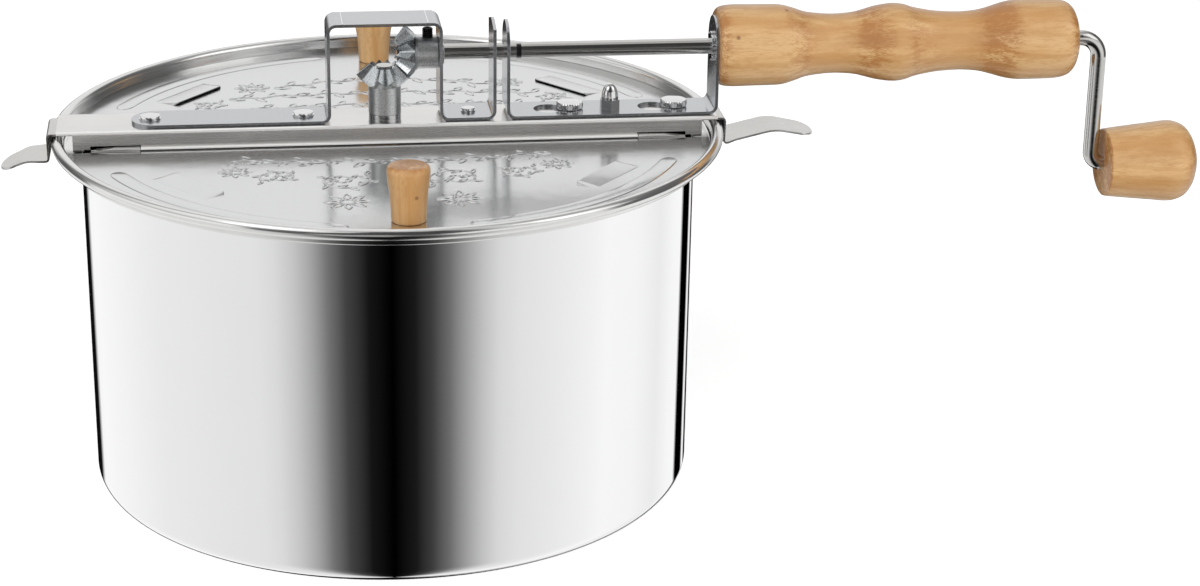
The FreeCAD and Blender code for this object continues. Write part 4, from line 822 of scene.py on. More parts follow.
# %% Gears
DRIVE_HUB_FROM = 0.48  # shares of the gear's length along its axis
DRIVEN_HUB_TO = 0.56
for gear, body in (("drive_gear", "crank"), ("driven_gear", "stirrer")):
    piece = soften(gear, cast_gear, 0.09 * MM)
    piece.data.materials.append(gear_hub)
    low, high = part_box(gear)
    for face in piece.data.polygons:
        if gear == "drive_gear":
            on_hub = face.center.x > low.x + DRIVE_HUB_FROM * (high.x - low.x)
        else:
            on_hub = face.center.z < low.z + DRIVEN_HUB_TO * (high.z - low.z)
        face.material_index = int(on_hub)
    dress(piece, body, "gear_metal", gear)

# %% [markdown]
# The push-on rings are thin spring discs whose teeth bite the shaft, and pushing them on leaves
# them crumpled. Outside the bite, a sine round the axis waves them, with four waves to the turn.

# %% Push-on rings
CRUMPLE_START = 4.3 * MM
CRUMPLE = 0.35 * MM
CRUMPLE_WAVES = 4
for ring_node, body in (("gear_shaft_ring", "crank"), ("crank_knob_ring", "crank"),
                        ("stirrer_ring", "stirrer")):
    ring = soften(ring_node, spring_strip, 0.08 * MM)
    low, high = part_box(ring_node)
    centre = (low + high) / 2
    normal = ALONG if body == "crank" else UP
    for vertex in ring.data.vertices:
        spoke = vertex.co - centre
        spoke -= normal * spoke.dot(normal)
        if spoke.length > CRUMPLE_START:
            angle = math.atan2(spoke.z + spoke.x, spoke.y)
            vertex.co += normal * CRUMPLE * math.sin(CRUMPLE_WAVES * angle)
    dress(ring, body, "spring_steel", ring_node)

# %% [markdown]
# The acorn nut, the washer and the handle's sleeve are plated. The nut's dome is polished, and its
# six flat sides get a darker nickel as painted shade.

# %% Nut, washer and sleeve
hexagon_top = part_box("acorn_nut")[0].z + 4.0 * MM
for small in ("acorn_nut", "gear_washer", "handle_sleeve"):
    piece = soften(small, bright_nickel, 0.12 * MM)
    # The hexagon's darker nickel is painted shade.
    piece.data.materials.append(dark_nickel)
    for face in piece.data.polygons:
        on_hexagon = small == "acorn_nut" and face.center.z < hexagon_top
        face.material_index = int(on_hexagon and abs(face.normal.z) < 0.3)
    dress(piece, "lid_frame", "bright_fastener", small)

# %% [markdown]
# Rivets, keyhole studs and the set screw are turned parts, so they come off the lathe as well. A
# rivet goes through the strap and the crossbar, and at the bar's left end through the clip's leaf
# too. Its head has a thin flange, a groove above it and a shallow dimple in its face.

# %% Turn the rivets
STRAP_SHEET, BAR_SHEET, LEAF_SHEET = 1.2 * MM, 1.0 * MM, 0.8 * MM
bar_top = bar_high.z
strap_top = bar_top + STRAP_SHEET
plate_foot = bar_top - BAR_SHEET
leaf_foot = plate_foot - LEAF_SHEET
TAIL = 1.2 * MM
SHANK = 2.0 * MM
# place along the bar and radius of the head in millimetres, and the sheet that the tail meets
RIVETS = ((-90.0, 4.0, leaf_foot), (-32.7, 4.0, plate_foot), (29.9, 2.8, plate_foot))
# the head's side line: share of its radius, and height above the strap in millimetres
RIVET_HEAD = ((1.0, 0.0), (1.02, 0.28), (0.90, 0.46), (0.88, 0.70), (0.97, 0.88), (0.95, 1.20),
              (0.84, 1.40), (0.55, 1.49), (0.46, 1.42), (0.30, 1.48), (0.0, 1.49))


def stand_at(place):
    """Stands a turned piece on the crossbar's middle line."""
    return Matrix.Translation((place, 0, 0))


rivets = []
for place, head, foot in RIVETS:
    head *= MM
    outline = [(0, foot - TAIL), (head, foot - TAIL), (head, foot), (SHANK, foot),
               (SHANK, strap_top)]
    outline += [(head * share, strap_top + height * MM) for share, height in RIVET_HEAD]
    rivets.append(turned_piece("rivet", outline, bright_nickel, segments=48,
                               place=stand_at(place * MM), sharp=30))
dress(join_pieces("turned_rivets", rivets, bright_nickel), "lid_frame", "bright_fastener",
      "bracket_rivets")

# %% [markdown]
# The handle bracket slides under the heads of two studs, whose rims are knurled for the fingers. A
# real knurl is rolled into the rim. Here the lathe leaves a smooth rim of seventy-two upright
# lines, and every other line is pushed inwards.

# %% Turn and knurl the studs
STUD_PLACES = ((69.0, plate_foot), (109.3, leaf_foot))
STUD_RIM = 5.1 * MM
STUD_TAIL = 2.8 * MM
STUD_NECK = 2.5 * MM
STUD_LINES = 72
KNURL_DEPTH = 0.22 * MM
neck_top = strap_top + 0.2 * MM
# the head's side line: share of its radius, and height above the neck in millimetres
STUD_HEAD = ((0.93, 0.0), (1.0, 0.35), (1.0, 1.95), (0.93, 2.4), (0.80, 2.6), (0.0, 2.6))


def knurl(piece, place, radius, depth):
    """Pushes every other upright line of a rim inwards."""
    for vertex in piece.data.vertices:
        spoke = Vector((vertex.co.x - place, vertex.co.y, 0))
        if spoke.length < radius:
            continue
        line = round(math.degrees(math.atan2(spoke.y, spoke.x)) / (360 / STUD_LINES))
        if line % 2:
            vertex.co -= spoke.normalized() * depth


studs = []
for place, foot in STUD_PLACES:
    outline = [(0, foot - TAIL), (STUD_TAIL, foot - TAIL), (STUD_TAIL, foot), (SHANK, foot),
               (SHANK, bar_top), (STUD_NECK, bar_top), (STUD_NECK, neck_top)]
    outline += [(STUD_RIM * share, neck_top + height * MM) for share, height in STUD_HEAD]
    stud = turned_piece("stud", outline, bright_nickel, segments=STUD_LINES,
                        place=stand_at(place * MM), sharp=30)
    knurl(stud, place * MM, STUD_RIM * 0.99, KNURL_DEPTH)
    shade_by_angle(stud, 26)
    studs.append(stud)
dress(join_pieces("turned_studs", studs, bright_nickel), "lid_frame", "bright_fastener",
      "keyhole_studs")

# %% [markdown]
# The set screw clamps the drive gear to its shaft. Only its top stands out of the hub, so its
# thread is drawn as rings at the right pitch. A true helix would cost more faces, and nobody could
# tell it apart at this size.

# %% Turn the set screw
screw_low, screw_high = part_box("set_screw")
PITCH = 0.75 * MM
THREAD_TURNS = 4
THREAD_LENGTH = 3.3 * MM
THREAD_ROOT, THREAD_CREST = 1.65 * MM, 2.05 * MM
SOCKET_RADIUS, SOCKET_DEPTH = 1.0 * MM, 2.0 * MM
thread_foot = screw_high.z - THREAD_LENGTH
outline = [(0, screw_low.z), (1.95 * MM, screw_low.z), (1.95 * MM, thread_foot)]
for number in range(THREAD_TURNS):
    step = thread_foot + number * PITCH
    outline += [(THREAD_ROOT, step + 0.12 * MM), (THREAD_CREST, step + 0.36 * MM),
                (THREAD_CREST, step + 0.50 * MM)]
outline += [(1.7 * MM, screw_high.z - 0.15 * MM), (1.55 * MM, screw_high.z),
            (SOCKET_RADIUS, screw_high.z), (SOCKET_RADIUS, screw_high.z - SOCKET_DEPTH),
            (0, screw_high.z - SOCKET_DEPTH)]
screw = turned_piece("turned_set_screw", outline, black_oxide, segments=36,
                     place=stand_at((screw_low.x + screw_high.x) / 2), sharp=25)
dress(screw, "crank", "black_screw", "set_screw")

# %% [markdown]
# The rods, the wires and the plain screws already have their right shape in the engineering model,
# so they stay as they are and only change their finish.

# %% Pieces whose model shape is already right
for node, finish in (("crank_rod", drawn_rod), ("gear_shaft", drawn_rod),
                     ("hinge_wire_front", drawn_rod), ("hinge_wire_rear", drawn_rod),
                     ("stirrer_shaft", drawn_rod), ("stirrer_wire", drawn_rod),
                     ("lock_screw", bright_nickel), ("knob_screw_front", bright_nickel),
                     ("knob_screw_rear", bright_nickel)):
    nodes[node].data.materials.clear()
    nodes[node].data.materials.append(finish)
    print(node, "is now", finish.name)

# %% [markdown]
# The crank rod plugs into the gear shaft, and a dark line of shade shows round the rod where the two
# meet. A short black ring fills the gap as painted shade and turns with them. It lies along the
# crank's axis, so the helper that lays a turned piece down along +X comes with it.

# %% Turn the ring of painted shade in the coupling gap
def along_x(start, height):
    """Places a turned piece so that its axis runs along +X from a point on the crank's plane."""
    return Matrix.Translation((start, 0, height)) @ Matrix.Rotation(math.radians(90), 4, "Y")


handle_low, handle_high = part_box("handle")
crank_height = (handle_low.z + handle_high.z) / 2
# The black ring is painted shade for the gap between the rod and the shaft.
GAP_SHADE_START, GAP_SHADE_END = 48.2 * MM, 50.0 * MM
GAP_SHADE_RADIUS = 2.6 * MM
gap_shade_line = [(0.0, GAP_SHADE_START), (GAP_SHADE_RADIUS, GAP_SHADE_START), (GAP_SHADE_RADIUS, GAP_SHADE_END),
              (0.0, GAP_SHADE_END)]
gap_shade = turned_piece("coupling_liner", gap_shade_line, black_oxide, segments=40,
                     place=along_x(0.0, crank_height), sharp=30)
dress(gap_shade, "crank", "black_screw")

# %% [markdown]
# The grips are turned from squared blanks. Their side lines are a few stations joined by a smooth
# line, as a turner marks a blank. The handle has two waists for the fingers, and its line closes
# along the bore for the steel sleeve.

# %% Turn the handle
handle_length = handle_high.x - handle_low.x
thick = 15.5 * MM
waist = 11.4 * MM
swell = 15.0 * MM
handle_stations = [
    (0.0, thick * 0.86), (0.005, thick * 0.93), (0.018, thick * 0.985), (0.045, thick * 1.01),
    (0.09, thick * 1.005), (0.145, thick), (0.18, thick * 0.985), (0.212, thick * 0.91),
    (0.245, thick * 0.81), (0.279, waist * 1.035), (0.318, waist), (0.352, waist * 1.012),
    (0.385, waist * 1.055), (0.413, swell * 0.868), (0.446, swell * 0.948), (0.488, swell),
    (0.52, swell * 0.975), (0.548, swell * 0.893), (0.582, waist * 1.087), (0.616, waist * 1.026),
    (0.665, waist * 0.99), (0.7, waist), (0.735, waist * 1.05), (0.768, thick * 0.85),
    (0.8, thick * 0.935), (0.83, thick * 0.987), (0.86, thick), (0.93, thick * 0.998),
    (0.96, thick * 0.975), (0.98, thick * 0.92), (0.993, thick * 0.82), (1.0, thick * 0.70)]
SLEEVE_RADIUS = 4.1 * MM
outside = smooth_line([(radius, share * handle_length) for share, radius in handle_stations], 6)
handle_line = [(SLEEVE_RADIUS, 0.0)] + outside + [(SLEEVE_RADIUS, handle_length)]
handle = turned_piece("grip_handle", handle_line, handle_wood, segments=96, closed=True,
                      place=along_x(handle_low.x, crank_height), sharp=50)
mark_end_grain(handle, ALONG)
dress(handle, "lid_frame", "maple", "handle")

# %% [markdown]
# The crank knob swells towards its free end, so that the hand can't slip off. It is drilled for its
# pin and counterbored at the free end, where the push-on ring sits.

# %% Turn the crank knob
knob_low, knob_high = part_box("crank_knob")
knob_length = knob_high.x - knob_low.x
knob_height = (knob_low.z + knob_high.z) / 2
neck = 13.5 * MM
widest = 16.0 * MM
PIN_BORE = 3.05 * MM
RECESS_RADIUS = 5.4 * MM
RECESS_DEPTH = 6.0 * MM
knob_stations = [
    (0.0, neck * 0.90), (0.012, neck * 0.97), (0.05, neck * 1.0), (0.3, neck * 1.075),
    (0.55, widest * 0.965), (0.70, widest), (0.80, widest * 0.98), (0.89, widest * 0.89),
    (0.955, widest * 0.72), (1.0, widest * 0.50)]
outside = smooth_line([(radius, share * knob_length) for share, radius in knob_stations], 8)
knob_line = [(PIN_BORE, 0.0)] + outside
knob_line += [(RECESS_RADIUS, knob_length), (RECESS_RADIUS, knob_length - RECESS_DEPTH),
              (PIN_BORE, knob_length - RECESS_DEPTH)]
crank_knob = turned_piece("grip_crank_knob", knob_line, crank_knob_wood, segments=96, closed=True,
                          place=along_x(knob_low.x, knob_height), sharp=50)
mark_end_grain(crank_knob, ALONG, towards=1.6, away=0.7)
dress(crank_knob, "crank_grip", "maple", "crank_knob")

# %% [markdown]
# The lid knobs stand upright, with the grain along their height: narrow at the foot, with a broad
# rounded head to lift them by. The rear one is turned a little shorter.

# %% Turn the two lid knobs
KNOB_FOOT = 6.2 * MM
KNOB_HEAD = 7.65 * MM
REAR_SHORTER = 1.2 * MM
lid_knob_stations = [
    (0.0, KNOB_FOOT * 0.93), (0.03, KNOB_FOOT), (0.2, KNOB_FOOT * 1.02), (0.5, KNOB_FOOT * 1.09),
    (0.72, KNOB_FOOT * 1.19), (0.84, KNOB_HEAD * 0.995), (0.91, KNOB_HEAD),
    (0.96, KNOB_HEAD * 0.955), (0.99, KNOB_HEAD * 0.86), (1.0, KNOB_HEAD * 0.74)]
for place_name, body, wood in (("front", "front_lid", front_knob_wood),
                               ("rear", "rear_lid", rear_knob_wood)):
    low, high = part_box("lid_knob_" + place_name)
    tall = high.z - low.z - (REAR_SHORTER if place_name == "rear" else 0.0)
    line = smooth_line([(radius, share * tall) for share, radius in lid_knob_stations], 6)
    centre = Matrix.Translation(((low.x + high.x) / 2, (low.y + high.y) / 2, low.z))
    knob = turned_piece("grip_lid_knob_" + place_name, [(0.0, 0.0)] + line + [(0.0, tall)], wood,
                        segments=64, place=centre, sharp=50)
    mark_end_grain(knob, UP, towards=1.0, away=0.75)
    dress(knob, body, "maple", "lid_knob_" + place_name)

# %% [markdown]
# Each lid half is pressed from one sheet. The press raises two long flat-topped ribs near the rim
# that stop the sheet from buckling, lances two steam louvres, and draws a shallow ornament.
# The ribs are a rounded trapezoid swept along an arc by Geometry Nodes, narrowing to nothing at
# both ends. Their flat tops mirror what the sheet mirrors and only their slopes catch another
# part of the room, which is why a pressed rib shows as two fine lines.

# %% Geometry Nodes tree: a raised rib along a path
rib_tree, given, result = new_group(
    "Pressed rib", "GeometryNodeTree",
    [("Geometry", GEOMETRY, None), ("Foot width", FLOAT, 9 * MM), ("Top width", FLOAT, 5.6 * MM),
     ("Rise", FLOAT, 1.6 * MM), ("Root", FLOAT, 0.3 * MM), ("Corner", FLOAT, 0.8 * MM),
     ("End share", FLOAT, 0.05), ("Steps", INTEGER, 140), ("Material", MATERIAL, None)],
    [("Geometry", GEOMETRY)])
path = add_node(rib_tree, "GeometryNodeMeshToCurve", None,
                Mesh=given.outputs["Geometry"]).outputs[0]
path = add_node(rib_tree, "GeometryNodeResampleCurve", None, Curve=path,
                Count=given.outputs["Steps"]).outputs[0]
path = add_node(rib_tree, "GeometryNodeSetCurveNormal", {"mode": "Z_UP"}, Curve=path).outputs[0]
along = add_node(rib_tree, "GeometryNodeSplineParameter").outputs["Factor"]
from_end = maths(rib_tree, "SUBTRACT", 0.5, maths(
    rib_tree, "ABSOLUTE", maths(rib_tree, "SUBTRACT", along, 0.5)))
nearness = maths(rib_tree, "MINIMUM", maths(
    rib_tree, "DIVIDE", from_end, given.outputs["End share"]), 1.0)
short = maths(rib_tree, "SUBTRACT", 1.0, nearness)
fullness = maths(rib_tree, "SQRT", maths(
    rib_tree, "SUBTRACT", 1.0, maths(rib_tree, "MULTIPLY", short, short)))
fullness = maths(rib_tree, "MAXIMUM", fullness, 0.02)
height = maths(rib_tree, "ADD", given.outputs["Rise"], given.outputs["Root"])
section = add_node(rib_tree, "GeometryNodeCurvePrimitiveQuadrilateral", {"mode": "TRAPEZOID"},
                   Height=height, Bottom_Width=given.outputs["Foot width"],
                   Top_Width=given.outputs["Top width"], Offset=0.0).outputs[0]
section = add_node(rib_tree, "GeometryNodeFilletCurve", {"mode": "POLY"}, Curve=section, Count=5,
                   Radius=given.outputs["Corner"], Limit_Radius=True).outputs[0]
middle = maths(rib_tree, "SUBTRACT", given.outputs["Rise"], maths(
    rib_tree, "DIVIDE", height, 2.0))
section = add_node(rib_tree, "GeometryNodeTransform", None, Geometry=section,
                   Translation=add_node(rib_tree, "ShaderNodeCombineXYZ", None,
                                        Y=middle).outputs[0]).outputs[0]
band = add_node(rib_tree, "GeometryNodeCurveToMesh", None, Curve=path, Profile_Curve=section,
                Scale=fullness, Fill_Caps=True).outputs[0]
band = add_node(rib_tree, "GeometryNodeRealizeInstances", None, Geometry=band).outputs[0]
band = add_node(rib_tree, "GeometryNodeSetMaterial", None, Geometry=band,
                Material=given.outputs["Material"]).outputs[0]
rib_tree.links.new(band, result.inputs["Geometry"])
print(rib_tree.name, len(rib_tree.nodes), "nodes")

# %% [markdown]
# The ornament is a plain traditional one: a wavy stem with leaves on alternate sides, rosettes
# and scrolls, pressed up as fine raised lines, like the border on an old biscuit tin. One leaf is
# two curves that meet in a point. Geometry Nodes set it along a stem again and again, turned with
# the stem, and give every line the same low, rounded section. A rosette is the same tree on a
# small ring, with all its leaves turned outwards.

# %% Geometry Nodes tree: a stem with leaves
vine_tree, given, result = new_group(
    "Leafy stem", "GeometryNodeTree",
    [("Geometry", GEOMETRY, None), ("Leaves", INTEGER, 24), ("Leaf length", FLOAT, 5 * MM),
     ("Leaf width", FLOAT, 1.4 * MM), ("Lean", FLOAT, -0.75), ("Swing", FLOAT, 1.5),
     ("Line width", FLOAT, 0.75 * MM), ("Line rise", FLOAT, 0.27 * MM),
     ("Material", MATERIAL, None)],
    [("Geometry", GEOMETRY)])
stem = add_node(vine_tree, "GeometryNodeMeshToCurve", None,
                Mesh=given.outputs["Geometry"]).outputs[0]
spots = add_node(vine_tree, "GeometryNodeCurveToPoints", {"mode": "COUNT"}, Curve=stem,
                 Count=given.outputs["Leaves"])
tip = add_node(vine_tree, "ShaderNodeCombineXYZ", None, X=given.outputs["Leaf length"]).outputs[0]
leaf = vine_tree.nodes.new("GeometryNodeJoinGeometry")
for way in (-1.0, 1.0):
    bulge = add_node(vine_tree, "ShaderNodeCombineXYZ", None,
                     X=maths(vine_tree, "MULTIPLY", given.outputs["Leaf length"], 0.4),
                     Y=maths(vine_tree, "MULTIPLY", given.outputs["Leaf width"], way)).outputs[0]
    edge = add_node(vine_tree, "GeometryNodeCurveQuadraticBezier", None, Resolution=9,
                    Start=(0, 0, 0), Middle=bulge, End=tip).outputs[0]
    vine_tree.links.new(edge, leaf.inputs[0])
parity = maths(vine_tree, "MODULO", add_node(vine_tree, "GeometryNodeInputIndex").outputs[0], 2.0)
lean = maths(vine_tree, "ADD", given.outputs["Lean"], maths(
    vine_tree, "MULTIPLY", parity, given.outputs["Swing"]))
heading = add_node(vine_tree, "FunctionNodeAlignRotationToVector", {"axis": "X"},
                   Vector=spots.outputs["Tangent"]).outputs[0]
lean_vector = add_node(vine_tree, "ShaderNodeCombineXYZ", None, Z=lean).outputs[0]
leaning = add_node(vine_tree, "FunctionNodeRotateRotation", {"rotation_space": "LOCAL"},
                   Rotation=heading, Rotate_By=lean_vector).outputs[0]
leaves = add_node(vine_tree, "GeometryNodeInstanceOnPoints", None, Points=spots.outputs["Points"],
                  Instance=leaf.outputs[0], Rotation=leaning).outputs[0]
leaves = add_node(vine_tree, "GeometryNodeRealizeInstances", None, Geometry=leaves).outputs[0]
drawing = vine_tree.nodes.new("GeometryNodeJoinGeometry")
vine_tree.links.new(stem, drawing.inputs[0])
vine_tree.links.new(leaves, drawing.inputs[0])
lines = add_node(vine_tree, "GeometryNodeSetCurveNormal", {"mode": "Z_UP"},
                 Curve=drawing.outputs[0]).outputs[0]
section = add_node(vine_tree, "GeometryNodeCurvePrimitiveCircle", None, Resolution=10,
                   Radius=0.5).outputs[0]
flat = add_node(vine_tree, "ShaderNodeCombineXYZ", None, X=given.outputs["Line width"], Z=1.0,
                Y=maths(vine_tree, "MULTIPLY", given.outputs["Line rise"], 2.0)).outputs[0]
section = add_node(vine_tree, "GeometryNodeTransform", None, Geometry=section,
                   Scale=flat).outputs[0]
raised = add_node(vine_tree, "GeometryNodeCurveToMesh", None, Curve=lines,
                  Profile_Curve=section, Fill_Caps=True).outputs[0]
raised = add_node(vine_tree, "GeometryNodeSetShadeSmooth", None, Geometry=raised).outputs[0]
raised = add_node(vine_tree, "GeometryNodeRealizeInstances", None, Geometry=raised).outputs[0]
raised = add_node(vine_tree, "GeometryNodeSetMaterial", None, Geometry=raised,
                  Material=given.outputs["Material"]).outputs[0]
vine_tree.links.new(raised, result.inputs["Geometry"])
print(vine_tree.name, len(vine_tree.nodes), "nodes")

# %% [markdown]
# A lid half is a half disc of sheet: an arc, and a straight edge beside the hinge. The outline is
# drawn twice for the sheet's thickness, and a Boolean modifier cuts the opening under each louvre.
# The front and the rear half are alike, so both are built where the rear one lies.

# %% Sheet of a lid half
LID_SHEET = 0.7 * MM
lid_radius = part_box("lid_rear")[1].y
lid_foot = 133.3 * MM
lid_top = lid_foot + LID_SHEET
HINGE_EDGE = 15.1 * MM
LOUVRE_LENGTH = 31 * MM
LOUVRE_DEPTH = 10 * MM
LOUVRE_RISE = 1.0 * MM
LOUVRE_RADIUS = lid_radius - 31.2 * MM
LOUVRE_BEARING = math.radians(37.5)
LID_SEGMENTS = 96


def lid_plate(name):
    """Half disc of sheet with an opening under each louvre."""
    half = math.sqrt(lid_radius ** 2 - HINGE_EDGE ** 2)
    start = math.atan2(HINGE_EDGE, half)
    outline = []
    for step in range(LID_SEGMENTS + 1):
        angle = start + (math.pi - 2 * start) * step / LID_SEGMENTS
        outline.append((lid_radius * math.cos(angle), lid_radius * math.sin(angle)))
    work = bmesh.new()
    low = [work.verts.new((x, y, lid_foot)) for x, y in outline]
    high = [work.verts.new((x, y, lid_top)) for x, y in outline]
    work.faces.new(high)
    work.faces.new(list(reversed(low)))
    for index in range(len(low)):
        following = (index + 1) % len(low)
        work.faces.new((low[index], low[following], high[following], high[index]))
    mesh = bpy.data.meshes.new(name)
    work.to_mesh(mesh)
    work.free()
    plate = link_object(name, mesh)
    half_opening = 0.44 * LOUVRE_LENGTH
    for bearing in (LOUVRE_BEARING, math.pi - LOUVRE_BEARING):
        low = (LOUVRE_RADIUS + 0.5 * MM, -half_opening, lid_foot - 1 * MM)
        high = (LOUVRE_RADIUS + 0.6 * LOUVRE_DEPTH, half_opening, lid_top + 1 * MM)
        cutter = box_mesh("cutter", low, high)
        cutter.data.transform(Matrix.Rotation(bearing, 4, "Z"))
        opening = plate.modifiers.new("Opening", "BOOLEAN")
        opening.object = cutter
        opening.operation = "DIFFERENCE"
        bake_modifiers(plate)
        bpy.data.objects.remove(cutter)
    bevel = plate.modifiers.new("Sheared edge", "BEVEL")
    bevel.width = 0.12 * MM
    bevel.segments = 2
    bake_modifiers(plate)
    return plate


print("lid radius", round(lid_radius / MM, 1), "mm, sheet", round(LID_SHEET / MM, 1), "mm")

# %% [markdown]
# Steam leaves through the louvres. The press cuts the sheet along one line and lifts it on one side,
# so a hood is a grid whose height falls to nothing at its back and at both ends. A second grid below
# gives it thickness, and strips of faces close the borders.

# %% Louvres
HOOD_END = 0.10  # share of the half length over which an end falls to the sheet
HOOD_SHEET = 0.45 * MM
HOOD_INSIDE = 0.5 * MM
HOOD_CORNER, CORNER_SHARE = 1.2 * MM, 0.12


def louvre_hood(name, bearing):
    """Wedge-shaped hood, open on the hinge's side, with a lip that closes half of its mouth."""
    across, deep = 40, 12  # faces of the grid
    work = bmesh.new()
    layers = []
    for inside in (False, True):
        rows = []
        for row in range(deep + 1):
            v = row / deep
            line = []
            for column in range(across + 1):
                u = 2 * column / across - 1
                end = min(1.0, (1 - abs(u)) / HOOD_END)
                height = LOUVRE_RISE * end * end * (3 - 2 * end) * (1 - v) ** 0.9
                if inside:
                    height = min(height - HOOD_SHEET, HOOD_INSIDE)
                turned = max(0.0, abs(u) - (1 - CORNER_SHARE)) / CORNER_SHARE
                corner = HOOD_CORNER * turned * (1 - v)
                line.append(work.verts.new((LOUVRE_RADIUS + corner + v * LOUVRE_DEPTH,
                                            u * LOUVRE_LENGTH / 2, lid_top + height)))
            rows.append(line)
        layers.append(rows)
    for rows in layers:
        for row in range(deep):
            for column in range(across):
                work.faces.new((rows[row][column], rows[row + 1][column],
                                rows[row + 1][column + 1], rows[row][column + 1]))
    upper, lower = layers
    borders = [([row[0] for row in upper], [row[0] for row in lower]),
               ([row[-1] for row in upper], [row[-1] for row in lower]),
               (upper[0], lower[0]), (upper[-1], lower[-1])]
    for above, below in borders:
        for index in range(len(above) - 1):
            work.faces.new((above[index], above[index + 1], below[index + 1], below[index]))
    bmesh.ops.recalc_face_normals(work, faces=work.faces)
    mesh = bpy.data.meshes.new(name)
    work.to_mesh(mesh)
    work.free()
    mesh.transform(Matrix.Rotation(bearing, 4, "Z"))
    hood = link_object(name, mesh)
    round_off(hood, 0.14 * MM, degrees=50)
    return hood


print("louvre", round(LOUVRE_LENGTH / MM, 1), "mm long, lifted", round(LOUVRE_RISE / MM, 1), "mm")

# %% [markdown]
# At both ends of the hinge a tongue of the sheet is rolled round the wire and cut to a taper. It
# starts as a cylinder that lies along the hinge. A plane cuts it, the hole is filled, and a small
# strap joins it to the sheet.

# %% Hinge knuckles
KNUCKLE_RADIUS = 1.7 * MM
KNUCKLE_START, KNUCKLE_END = 93.8 * MM, 111.8 * MM
KNUCKLE_TIP = 0.475 * MM
HINGE_AXIS = 13.1 * MM


def end_knuckle(name, way):
    """Rolled tongue at one end of the hinge, cut to a taper."""
    radius, start, end = KNUCKLE_RADIUS, KNUCKLE_START, KNUCKLE_END
    height = lid_foot + LID_SHEET / 2
    work = bmesh.new()
    bmesh.ops.create_cone(work, cap_ends=True, segments=40, radius1=radius, radius2=radius,
                          depth=end - start)
    centre = Vector((way * (start + end) / 2, HINGE_AXIS, height))
    bmesh.ops.transform(work, matrix=Matrix.Translation(centre)
                        @ Matrix.Rotation(math.radians(90), 4, "Y"), verts=work.verts)
    taper = Vector((way * (radius - KNUCKLE_TIP), 0, (end - start) / 2)).normalized()
    bmesh.ops.bisect_plane(work, geom=work.verts[:] + work.edges[:] + work.faces[:],
                           plane_co=centre + Vector((0, 0, radius)), plane_no=taper,
                           clear_outer=True)
    rim = [edge for edge in work.edges if edge.is_boundary]
    bmesh.ops.holes_fill(work, edges=rim)
    bmesh.ops.recalc_face_normals(work, faces=work.faces)
    mesh = bpy.data.meshes.new(name)
    work.to_mesh(mesh)
    work.free()
    roll = link_object(name, mesh)
    bevel = roll.modifiers.new("Burnished edge", "BEVEL")
    bevel.width = 0.15 * MM
    bevel.segments = 2
    bevel.limit_method = "ANGLE"
    bake_modifiers(roll)
    shade_by_angle(roll, 40)
    strap = box_mesh(name + "_strap", (way * start, HINGE_AXIS + 1.0 * MM, lid_foot),
                     (way * end, HINGE_EDGE + LID_SHEET, lid_top))
    face_outwards(strap)
    return [roll, strap]


print("knuckle", round((KNUCKLE_END - KNUCKLE_START) / MM, 1), "mm long")

# %% [markdown]
# The ornament needs three kinds of line: a wavy stem, a small ring and a scroll. Each one is a mesh
# that holds nothing but the line, and the leafy tree follows it.

# %% The ornament's stems, rings and scrolls
WAVE_STEPS, SCROLL_STEPS = 24, 64
RING_STEP = 15  # degrees


def flat_line(name, points):
    """Mesh that holds only a line, for a tree to follow."""
    mesh = bpy.data.meshes.new(name)
    mesh.from_pydata(points, [(index, index + 1) for index in range(len(points) - 1)], [])
    return link_object(name, mesh)


def wavy_stem(start, end, waves, swing, bow=0.0):
    """Line from start to end that swings from side to side, on an arched middle line."""
    steps = WAVE_STEPS * waves
    points = []
    for step in range(steps + 1):
        share = step / steps
        x = start[0] + (end[0] - start[0]) * share
        y = start[1] + (end[1] - start[1]) * share
        y += bow * (1 - (2 * share - 1) ** 2)
        y += swing * math.sin(share * waves * 2 * math.pi)
        points.append((x, y, lid_top))
    return flat_line("stem", points)


def small_ring(x, y, radius):
    """Ring for a rosette."""
    return flat_line("ring", [(x + radius * math.cos(math.radians(angle)),
                               y + radius * math.sin(math.radians(angle)), lid_top)
                              for angle in range(0, 361, RING_STEP)])


def scroll(x, y, size, way, turns=1.6):
    """Spiral that opens towards one side, like a fern's tip."""
    points = []
    for step in range(SCROLL_STEPS + 1):
        share = step / SCROLL_STEPS
        angle = way * share * turns * 2 * math.pi
        radius = size * (0.12 + 0.88 * share ** 1.3)
        points.append((x + way * radius * math.cos(angle), y + radius * math.sin(angle), lid_top))
    return flat_line("scroll", points)


print("points on a scroll:", SCROLL_STEPS + 1, "and on a ring:", 360 // RING_STEP + 1)

# %% [markdown]
# The lines become borders, rosettes and ferns. The rear half has three arched borders with rosettes
# and ferns at their ends. The front half has one border beside the hinge, and ferns and rosettes on
# both sides of its knob. Places are in metres from the middle of the lid.

# %% The ornament's layout
def border_row(half, y, bow, waves, leaves, length):
    """One leafy border across the lid. Only the leaves' length is in millimetres."""
    stem = wavy_stem((-half, y), (half, y), waves, 1.1 * MM, bow)
    return run_tree(stem, vine_tree, Leaves=leaves, Leaf_length=length * MM,
                    Leaf_width=0.42 * length * MM, Material=lid_sheet)


def rosette(x, y, size):
    """Ring with eight petals."""
    return run_tree(small_ring(x, y, 0.3 * size), vine_tree, Leaves=9, Leaf_length=0.75 * size,
                    Leaf_width=0.3 * size, Lean=-math.pi / 2, Swing=0.0, Material=lid_sheet)


def fern(x, y, size, way):
    """Scroll with small leaves along it."""
    return run_tree(scroll(x, y, size, way), vine_tree, Leaves=13, Leaf_length=0.4 * size,
                    Leaf_width=0.14 * size, Lean=-0.9, Swing=1.8, Material=lid_sheet)


